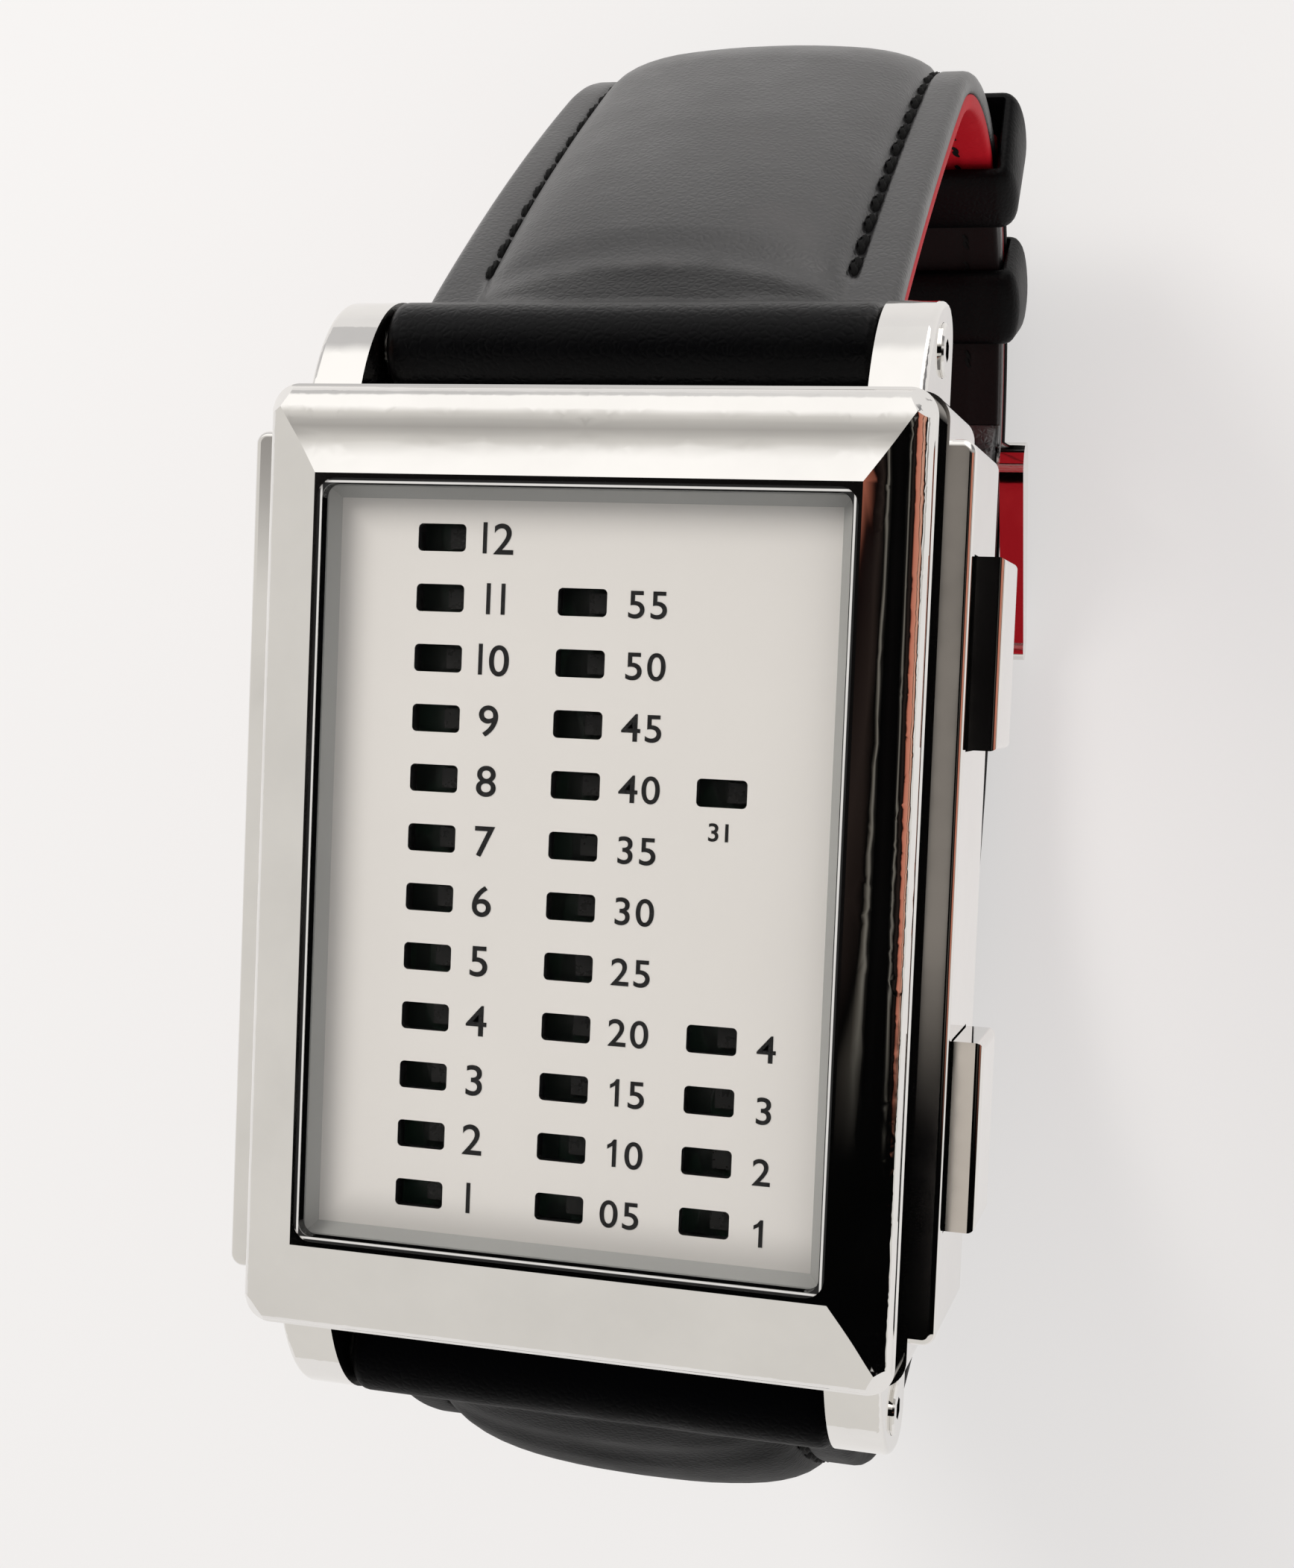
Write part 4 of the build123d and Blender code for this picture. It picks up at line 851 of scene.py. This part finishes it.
def strap_lower(route, length):
    rings = lug_rings(route, -1)
    for here in route:
        s = here.distance
        if s <= BAND_START:
            continue
        left = length - s
        half = pointed(here.half_width(), left)
        groove = groove_share(s, left, *LOWER_GROOVE_END)
        fall = lug_fall(s)
        section = strap_section(half, fall, underside(s), s, LOWER_PAD, groove, fall=fall)
        rings.append(ring_from(section, here.point, here.out))
    return loft("strap_lower_leather", rings, LOWER_LEATHER_SHADED)


def lining(name, route, end, mat, tip=False):
    """Lining from beside the lug bar to a distance along the route, narrowed at a pointed tip."""
    start = LINING_START + LINING_GAP
    rings = []
    inner = [here for here in route if start + LINING_END_STEP < here.distance < end - LINING_END_STEP]
    for here in [station_at(route, start)] + inner + [station_at(route, end)]:
        half = here.half_width() - LINING_INSET
        if tip:
            half = pointed(half, route[-1].distance - here.distance)
        rings.append(ring_from(lining_section(half), here.point, here.out))
    return loft(name, rings, mat)


def cut(obj, cutters):
    """Take the cutters' shapes out of a mesh, and the cutters out of the scene."""
    for cutter in cutters:
        modifier = obj.modifiers.new("cut", "BOOLEAN")
        modifier.operation = "DIFFERENCE"
        modifier.solver = "EXACT"
        modifier.use_self = True
        modifier.object = cutter
        bpy.context.view_layer.update()
        graph = bpy.context.evaluated_depsgraph_get()
        mesh = bpy.data.meshes.new_from_object(obj.evaluated_get(graph))
        obj.modifiers.clear()
        obj.data = mesh
        bpy.data.objects.remove(cutter)
    bm = bmesh.new()
    bm.from_mesh(obj.data)
    mark_sharp(bm)
    bm.to_mesh(obj.data)
    bm.free()


def slot_cutter(centre, out, reach, sides=32):
    """Prism with a slot's outline, square to the strap."""
    straight = (HOLE_LENGTH - HOLE_WIDTH) / 2
    radius = HOLE_WIDTH / 2
    outline = []
    for i in range(sides):
        angle = 2 * pi * (i + 0.5) / sides
        along = straight if sin(angle) > 0 else -straight
        outline.append((radius * cos(angle), along + radius * sin(angle)))
    way = (-out[1], out[0])
    rings = []
    for level in (-reach, reach):
        rings.append(
            [
                lifted(x, (centre[0] + way[0] * a, centre[1] + way[1] * a), out, level)
                for x, a in outline
            ]
        )
    return loft("cutter", rings, THREAD)


def hole_cutters():
    cutters = [slot_cutter((TANG_HOLE_Y, TANG_HOLE_Z), (0.0, -1.0), TANG_HOLE_REACH)]
    last = LOWER[-1]
    for i in (1, 2, 3):
        back = i * HOLE_SPACING - (TANG_HOLE_Y - last.point(1)[0])
        share = 1 - back / last.length
        cutters.append(slot_cutter(last.point(share, -THICK / 2), last.outward(share), HOLE_REACH))
    return cutters


def notch_cutter():
    """Box that takes the leather away where the tang holds the buckle bar."""
    y, z = UPPER[-1].point(1) - UPPER[-1].outward(1) * BUCKLE_LOOP_R
    sides = (
        (-NOTCH_HALF, NOTCH_HALF),
        (y - NOTCH_REACH, y + NOTCH_REACH),
        (z - NOTCH_REACH, z + NOTCH_REACH),
    )
    faces = [(0, 1, 3, 2), (4, 6, 7, 5), (0, 4, 5, 1), (2, 3, 7, 6), (0, 2, 6, 4), (1, 5, 7, 3)]
    return mesh_object("cutter", [Vector(corner) * MM for corner in product(*sides)], faces, THREAD)


def stitch_row(name, route, end, side, face):
    """Row of two-ply stitches on the outer (face 1) or inner (face -1) side, dipping at both ends."""
    verts, faces = [], []
    for k in range(int((end - STITCH_START) / STITCH_PITCH)):
        middle = STITCH_START + (k + 0.5) * STITCH_PITCH
        depth = STITCH_SUNK if middle < KEEPER_REACH and face > 0 else STITCH_SUNK_KEEPER
        for ply in range(PLIES):
            base = len(verts)
            for i in range(STITCH_RINGS):
                u = 2 * i / (STITCH_RINGS - 1) - 1
                here = station_at(route, middle + u * STITCH_LENGTH / 2)
                twist = pi * ply + PLY_TURNS * pi * u
                sunk = depth + STITCH_DIP * u ** 4
                height = (-sunk if face > 0 else sunk - THICK) + PLY_LIFT * sin(twist)
                x = side * STITCH_X + STITCH_SLANT * u + PLY_SPREAD * cos(twist)
                thin = STITCH_RADIUS * (1.0 - STITCH_THINNING * u ** 4)
                for j in range(STITCH_SIDES):
                    angle = 2 * pi * j / STITCH_SIDES
                    place = x + thin * cos(angle)
                    verts.append(lifted(place, here.point, here.out, height + thin * sin(angle)))
            for i in range(STITCH_RINGS - 1):
                for j in range(STITCH_SIDES):
                    a = base + i * STITCH_SIDES + j
                    b = base + i * STITCH_SIDES + (j + 1) % STITCH_SIDES
                    faces.append((a, b, b + STITCH_SIDES, a + STITCH_SIDES))
            last = base + (STITCH_RINGS - 1) * STITCH_SIDES
            faces.append(tuple(base + j for j in reversed(range(STITCH_SIDES))))
            faces.append(tuple(last + j for j in range(STITCH_SIDES)))
    return mesh_object(name, verts, faces, THREAD)


def keeper(name, middle_angle, slack):
    """Leather loop round both strap halves, thicker in the middle of its width than at its edges."""
    bend = UPPER[1]
    half_turn = degrees(KEEPER_WIDTH / (bend.radius + TAIL_LIFT)) / 2
    low = bend.radius - THICK - slack + KEEPER_CORNER_INSET
    high = bend.radius + TAIL_LIFT + slack - KEEPER_CORNER_INSET
    half = END_HALF_WIDTH + slack - KEEPER_CORNER_INSET
    rise = (KEEPER_WALL - KEEPER_TRIM) * KEEPER_RISE_SHARE
    profile = [(-along, share) for along, share in KEEPER_BULGE] + [KEEPER_CREST]
    profile += KEEPER_BULGE[::-1] + [(KEEPER_FOOT, 0.0), (-KEEPER_FOOT, 0.0)]
    corners = ((half, high, 0), (-half, high, 90), (-half, low, 180), (half, low, 270))
    rings = []
    for corner_x, corner_r, start in corners:
        for i in range(KEEPER_CORNER_STEPS + 1):
            angle = radians(start + 90 * i / KEEPER_CORNER_STEPS)
            ring = []
            for along, share in profile:
                depth = KEEPER_INNER_R + share * rise
                out = bend.outward((middle_angle + along * half_turn) / bend.turn)
                x = corner_x + cos(angle) * depth
                ring.append(lifted(x, bend.centre, out, corner_r + sin(angle) * depth))
            rings.append(ring)
    return loft(name + "_leather", rings, KEEPER_LEATHER, closed=True)


# Soft pieces in place of their CAD solids

upper_stations, upper_length = upper_route()
lower_stations, lower_length = lower_route()
upper_leather = strap_upper(upper_stations, upper_length)
lower_leather = strap_lower(lower_stations, lower_length)
lining_end = upper_length - LINING_START - LINING_GAP
upper_lining = lining("lining_upper_skin", upper_stations, lining_end, UPPER_LINING_SHADED)
tip_end = lower_length - LINING_TIP_GAP
lower_lining = lining("lining_lower_skin", lower_stations, tip_end, LOWER_LINING_SHADED, tip=True)
cut(lower_leather, hole_cutters())
cut(lower_lining, hole_cutters())
cut(upper_leather, [notch_cutter()])
keepers = {name: keeper(name, angle, slack) for name, (angle, slack) in KEEPERS.items()}

soft = [
    (upper_leather, "watch_body", ("strap_upper",), "black_leather"),
    (lower_leather, "watch_body", ("strap_lower",), "black_leather"),
    (upper_lining, "watch_body", ("lining_upper",), "red_lining"),
    (lower_lining, "watch_body", ("lining_lower",), "red_lining"),
    (keepers["keeper_free"], "free_keeper_body", ("keeper_free",), "black_leather"),
    (keepers["keeper_fixed"], "watch_body", ("keeper_fixed",), "black_leather"),
]
for obj, body, replaced, slot_name in soft:
    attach(obj, body)
    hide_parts(*replaced)

rows = []
for side, word in ((-1, "left"), (1, "right")):
    for face, layer in ((1, ""), (-1, "inner_")):
        for half, stations, end in (
            ("upper_", upper_stations, upper_length - UPPER_STITCH_END),
            ("lower_", lower_stations, lower_length - LOWER_STITCH_END),
        ):
            rows.append(stitch_row("stitches_" + half + layer + word, stations, end, side, face))
for obj in rows:
    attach(obj, "watch_body")


# Numerals on the dial

def numeral(name, text, x, y, height):
    """Printed text centred at a place on the dial."""
    curve = bpy.data.curves.new(name, "FONT")
    curve.body = text
    curve.align_x = "CENTER"
    curve.size = height * MM / DIGIT_SHARE
    curve.extrude = PRINT_HALF_DEPTH * MM
    curve.offset = PRINT_WEIGHT * MM
    obj = bpy.data.objects.new(name, curve)
    obj.scale = (DIGIT_WIDE, 1.0, 1.0)
    obj.location = (x * MM, (y - height / 2) * MM, (DIAL_TOP + PRINT_MIDDLE) * MM)
    SCENE.collection.objects.link(obj)
    curve.materials.append(PRINT)
    return obj


def flat_print(name, outline):
    """Thin prism on the dial with an outline given anticlockwise."""
    size = len(outline)
    verts = [Vector((x, y, DIAL_TOP + level)) * MM for level in (0.0, PRINT_TOP) for x, y in outline]
    faces = [tuple(reversed(range(size))), tuple(range(size, 2 * size))]
    faces += [(i, (i + 1) % size, (i + 1) % size + size, i + size) for i in range(size)]
    return mesh_object(name, verts, faces, PRINT)


def bar(name, x, y):
    """Plain upright stroke for the hours' numeral one."""
    across, up = BAR_STROKE / 2, HOUR_BAR_HEIGHT / 2
    corners = [(x - across, y - up), (x + across, y - up), (x + across, y + up), (x - across, y + up)]
    return flat_print(name, corners)


def flagged_one(name, x, y, height):
    """Numeral one with a flag at its top left."""
    top, low = y + height / 2, y - height / 2
    right = x + FLAG_RIGHT
    left = right - FLAG_STROKE
    nib, nib_top = left - FLAG_NIB, top - FLAG_DROP
    outline = [
        (right, low), (right, top), (right - FLAG_TOP_WIDTH, top), (left - FLAG_BEND, top - FLAG_BEND_DROP),
        (nib, nib_top), (nib, nib_top - FLAG_STROKE), (left, top - FLAG_INNER_DROP), (left, low),
    ]
    return flat_print(name, outline)


def row_y(row):
    return (row - MIDDLE_ROW) * ROW_SPACING


prints = []
for row in range(1, 13):
    y = row_y(row) + HOUR_LIFT
    x = HOUR_SHIFT + HOUR_DRIFT * (row - 1)
    label = "hour_%02d" % row
    if row == 1:
        prints.append(bar(label, x + HOUR_ONE_X, y))
    elif row < 10:
        prints.append(numeral(label, str(row), x + HOUR_X, y, HOUR_HEIGHT))
    elif row == 11:
        for part, place in zip(("_a", "_b"), ELEVEN_XS):
            prints.append(bar(label + part, x + place, y))
    else:
        prints.append(bar(label + "_a", x + TENS_X, y))
        prints.append(numeral(label + "_b", str(row)[1], x + UNITS_X, y, HOUR_HEIGHT))
for row in range(1, 12):
    y = row_y(row) + MINUTE_LIFT
    x = MINUTE_DRIFT * (row - 1)
    for place, digit in zip(MINUTE_XS, "%02d" % (5 * row)):
        label = "minute_%02d_%d" % (5 * row, place)
        if digit == "1":
            prints.append(flagged_one(label, x + place, y, MINUTE_ONE_HEIGHT))
        else:
            prints.append(numeral(label, digit, x + place, y, MINUTE_HEIGHT))
prints.append(flagged_one("single_1", SINGLE_ONE_X, row_y(1) - SINGLE_ONE_DROP, SINGLE_ONE_HEIGHT))
for row in (2, 3, 4):
    prints.append(numeral("single_%d" % row, str(row), SINGLE_X, row_y(row) - SINGLE_DROP, SINGLE_HEIGHT))
prints.append(numeral("day_count", "31", COLUMN_SPACING, DAY_COUNT_Y, DAY_COUNT_HEIGHT))
for obj in prints:
    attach(obj, "watch_body")


# Floor

BACKDROP = rgb(240, 238, 237)
FLOOR_TONE = rgb(240, 238, 236)
FLOOR_GLOW = 0.56
FLOOR_RADIUS, FLOOR_GAP = 0.6, 0.0001
FLOOR_RINGS, FLOOR_SIDES = 6, 64
FLOOR_FADE = (0.06, 0.24)


def floor_material():
    """Pale floor that glows more and more towards its edge, until it matches the backdrop."""
    mat = bpy.data.materials.new("floor_pale")
    mat.use_nodes = True
    g = Graph(mat.node_tree)
    coords = g.add("TexCoord").outputs["Object"]
    far = g.add("VectorMath", {0: coords}, operation="LENGTH").outputs["Value"]
    lit = g.add("BsdfDiffuse", {"Color": FLOOR_TONE}).outputs[0]
    sky = g.add("Emission", {"Color": BACKDROP}).outputs[0]
    share = g.span(g.smooth(far, *FLOOR_FADE), FLOOR_GLOW, 1.0)
    shown = g.add("MixShader", {0: share, 1: lit, 2: sky}).outputs[0]
    g.add("OutputMaterial", {"Surface": shown})
    return mat


def floor():
    """Round floor just under the lowest piece."""
    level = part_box("buckle_tang")[0][2] - FLOOR_GAP
    sides = FLOOR_SIDES
    verts = [Vector((0, 0, level))]
    for r in range(1, FLOOR_RINGS + 1):
        radius = FLOOR_RADIUS * r / FLOOR_RINGS
        for i in range(sides):
            angle = 2 * pi * i / sides
            verts.append(Vector((radius * cos(angle), radius * sin(angle), level)))
    faces = [(0, 1 + i, 1 + (i + 1) % sides) for i in range(sides)]
    for r in range(FLOOR_RINGS - 1):
        for i in range(sides):
            a, b = 1 + r * sides + i, 1 + r * sides + (i + 1) % sides
            faces.append((a, a + sides, b + sides, b))
    mesh = bpy.data.meshes.new("floor")
    mesh.from_pydata(verts, [], faces)
    mesh.materials.append(floor_material())
    obj = bpy.data.objects.new("floor", mesh)
    SCENE.collection.objects.link(obj)


# World

# What metal mirrors, by the mirrored direction's x, y and z and by its lean, the angle from straight
# up towards the right. Each pair holds the two levels between which an edge fades.
LEAN_LOW, LEAN_HIGH = -0.62, 1.6
DARK_SIDE = [
    (-0.62, 0.008, 0.007, 0.007),
    (0.26, 0.001, 0.001, 0.001),
    (0.33, 0.012, 0.011, 0.01),
    (0.38, 0.17, 0.16, 0.14),
    (0.42, 0.06, 0.054, 0.046),
    (0.45, 0.001, 0.001, 0.001),
    (0.58, 0.02, 0.014, 0.012),
    (0.72, 0.004, 0.002, 0.002),
    (0.77, 0.3, 0.095, 0.06),
    (0.82, 0.52, 0.18, 0.12),
    (1.1, 0.6, 0.25, 0.17),
    (1.15, 0.03, 0.012, 0.01),
    (1.2, 0.64, 0.36, 0.265),
    (1.32, 0.56, 0.27, 0.19),
    (1.36, 0.004, 0.003, 0.003),
    (1.43, 0.006, 0.005, 0.004),
    (1.47, 0.9, 0.88, 0.86),
    (1.6, 1.0, 0.98, 0.96),
]
NEAR_BLACK = (0.001, 0.001, 0.001, 1.0)
DARK_LOW, DARK_HIGH = (-0.345, -0.305), (0.20, 0.12)
DARK_ABOVE, DARK_LEFT = (0.02, 0.10), (-0.431, -0.424)
LASTING_Y, LASTING_LEAN = (-0.21, -0.11), (1.34, 1.46)
WAVE_SCALE, WAVE_SHARE, LEAN_BY_Y, LEAN_EDGE = 5.0, 0.10, 0.30, (0.0, 0.25)
WARM_START, WARM_END, WARM_BY_Y = (0.30, 0.80), (1.45, 1.05), 1.2
WALL, SKY, SKY_Y = (0.74, 0.72, 0.69, 1.0), (1.18, 1.16, 1.14, 1.0), (0.40, 0.58)
GREY, GREY_LOW, GREY_HIGH, GREY_X = (0.36, 0.345, 0.33, 1.0), (0.02, 0.10), (0.46, 0.16), (-0.60, -0.42)
BACK, BACK_Z, BACK_X, BACK_Y = (0.62, 0.61, 0.61, 1.0), (0.34, 0.16), (0.15, -0.45), (0.35, 0.60)
OVER_Y = (0.22, 0.45)
WINDOW, WINDOW_LEFT, WINDOW_RIGHT = (1.95, 1.88, 1.84, 1.0), (-0.08, 0.10), (0.46, 0.30)
BESIDE, BESIDE_X = (0.24, 0.235, 0.24, 1.0), (0.46, 0.62)
STREAK_LEFT, STREAK_RIGHT, STREAK_Y = (-0.140, -0.137), (-0.127, -0.129), (-0.20, -0.10)
STREAK_SHARE = 0.4
STRIP_LEFT, STRIP_RIGHT, STRIP_Y = (-0.123, -0.121), (-0.098, -0.104), (-0.13, -0.16)
LINE_TONE = (0.56, 0.51, 0.46, 1.0)
ROOM_TONE = (0.72, 0.72, 0.725, 1.0)


def wavy_lean(g, x, y, z):
    """Lean of a mirrored direction, with a slow wave along y so that no edge is quite straight."""
    lean = g.math("ARCTAN2", x, z)
    wave = g.noise(g.add("CombineXYZ", {0: g.times(y, WAVE_SCALE)}).outputs[0], 2.0, 2.0)
    drift = g.times(g.math("SUBTRACT", wave, 0.5), WAVE_SHARE)
    shift = g.times(g.math("ADD", drift, g.times(y, LEAN_BY_Y)), g.smooth(lean, *LEAN_EDGE))
    slant = g.times(y, WARM_BY_Y, g.smooth(lean, *WARM_START), g.smooth(lean, *WARM_END))
    return g.math("ADD", g.math("ADD", lean, shift), slant)


def dark_side(g, lean, y):
    """The dark room on the right, with warm panels in it; low down only its far edge stays lit."""
    ramp = g.add("ValToRGB", {"Fac": g.span(lean, 0.0, 1.0, LEAN_LOW, LEAN_HIGH)})
    elements = ramp.color_ramp.elements
    while len(elements) < len(DARK_SIDE):
        elements.new(0.5)
    for element, (angle, *tone) in zip(elements, DARK_SIDE):
        element.position = (angle - LEAN_LOW) / (LEAN_HIGH - LEAN_LOW)
        element.color = (*tone, 1.0)
    lasting = g.math("MAXIMUM", g.smooth(y, *LASTING_Y), g.smooth(lean, *LASTING_LEAN))
    return g.mix(lasting, NEAR_BLACK, ramp.outputs["Color"])


def bright_side(g, x, y, z):
    """The pale rest of the room: wall, brighter sky, grey and back panels, window and what is beside it."""
    tone = g.mix(g.smooth(y, *SKY_Y), WALL, SKY)
    grey = g.times(g.smooth(y, *GREY_LOW), g.smooth(y, *GREY_HIGH), g.smooth(x, *GREY_X))
    tone = g.mix(grey, tone, GREY)
    back = g.times(g.smooth(z, *BACK_Z), g.smooth(x, *BACK_X), g.smooth(y, *BACK_Y))
    tone = g.mix(back, tone, BACK)
    over = g.smooth(y, *OVER_Y)
    window = g.times(over, g.smooth(x, *WINDOW_LEFT), g.smooth(x, *WINDOW_RIGHT))
    tone = g.mix(window, tone, WINDOW)
    return g.mix(g.times(over, g.smooth(x, *BESIDE_X)), tone, BESIDE)


def lit_lines(g, lean, y):
    """Two thin lit lines in the dark room: a faint streak, and a strip that shows low down."""
    streak = g.times(g.smooth(lean, *STREAK_LEFT), g.smooth(lean, *STREAK_RIGHT), g.smooth(y, *STREAK_Y))
    strip = g.times(g.smooth(lean, *STRIP_LEFT), g.smooth(lean, *STRIP_RIGHT), g.smooth(y, *STRIP_Y))
    return g.math("MAXIMUM", g.times(streak, STREAK_SHARE), strip)


def world():
    """Pale studio: plain light for the object, and soft boxes with dark gaps in what metal mirrors."""
    made = bpy.data.worlds.new("studio")
    made.use_nodes = True
    SCENE.world = made
    g = Graph(made.node_tree)
    x, y, z = g.axes(g.add("TexCoord").outputs["Generated"])
    lean = wavy_lean(g, x, y, z)
    along = g.times(g.smooth(y, *DARK_LOW), g.smooth(y, *DARK_HIGH))
    here = g.times(along, g.smooth(z, *DARK_ABOVE), g.smooth(lean, *DARK_LEFT))
    mirrored = g.mix(here, bright_side(g, x, y, z), dark_side(g, lean, y))
    mirrored = g.mix(g.times(here, lit_lines(g, lean, y)), mirrored, LINE_TONE)
    path = g.add("LightPath").outputs
    plain = g.mix(path["Is Camera Ray"], ROOM_TONE, BACKDROP)
    shown = g.mix(path["Is Glossy Ray"], plain, mirrored)
    light = g.add("Background", {"Color": shown, "Strength": 1.0}).outputs[0]
    g.add("OutputWorld", {"Surface": light})


# Lamps and camera

LAMP_TONE = (1.0, 0.98, 0.95)
CLIP_START = 0.005


def lamp(name, place, power, size):
    """Square lamp that faces the scene's origin and isn't mirrored or seen itself."""
    data = bpy.data.lights.new(name, "AREA")
    data.energy, data.size, data.color = power, size, LAMP_TONE
    obj = bpy.data.objects.new(name, data)
    obj.location = place
    obj.rotation_mode = "QUATERNION"
    obj.rotation_quaternion = Vector(place).to_track_quat("Z", "Y")
    obj.visible_glossy = False
    obj.visible_transmission = False
    obj.visible_camera = False
    SCENE.collection.objects.link(obj)


world()
floor()
lamp("key", (-0.24, 0.22, 0.26), 0.95, 0.16)
lamp("fill", (0.30, -0.05, 0.20), 0.15, 0.30)

camera_data = bpy.data.cameras.new("photo_view")
camera_data.lens = CAMERA_LENS
camera_data.sensor_width = CAMERA_SENSOR
camera_data.clip_start = CLIP_START
camera = bpy.data.objects.new("photo_view", camera_data)
axes = Matrix((CAMERA_RIGHT, CAMERA_UP, CAMERA_BACK)).transposed()
camera.matrix_world = Matrix.Translation(Vector(CAMERA_PLACE) * MM) @ axes.to_4x4()
SCENE.collection.objects.link(camera)
SCENE.camera = camera
SCENE.view_settings.view_transform = "Standard"

bpy.context.view_layer.update()
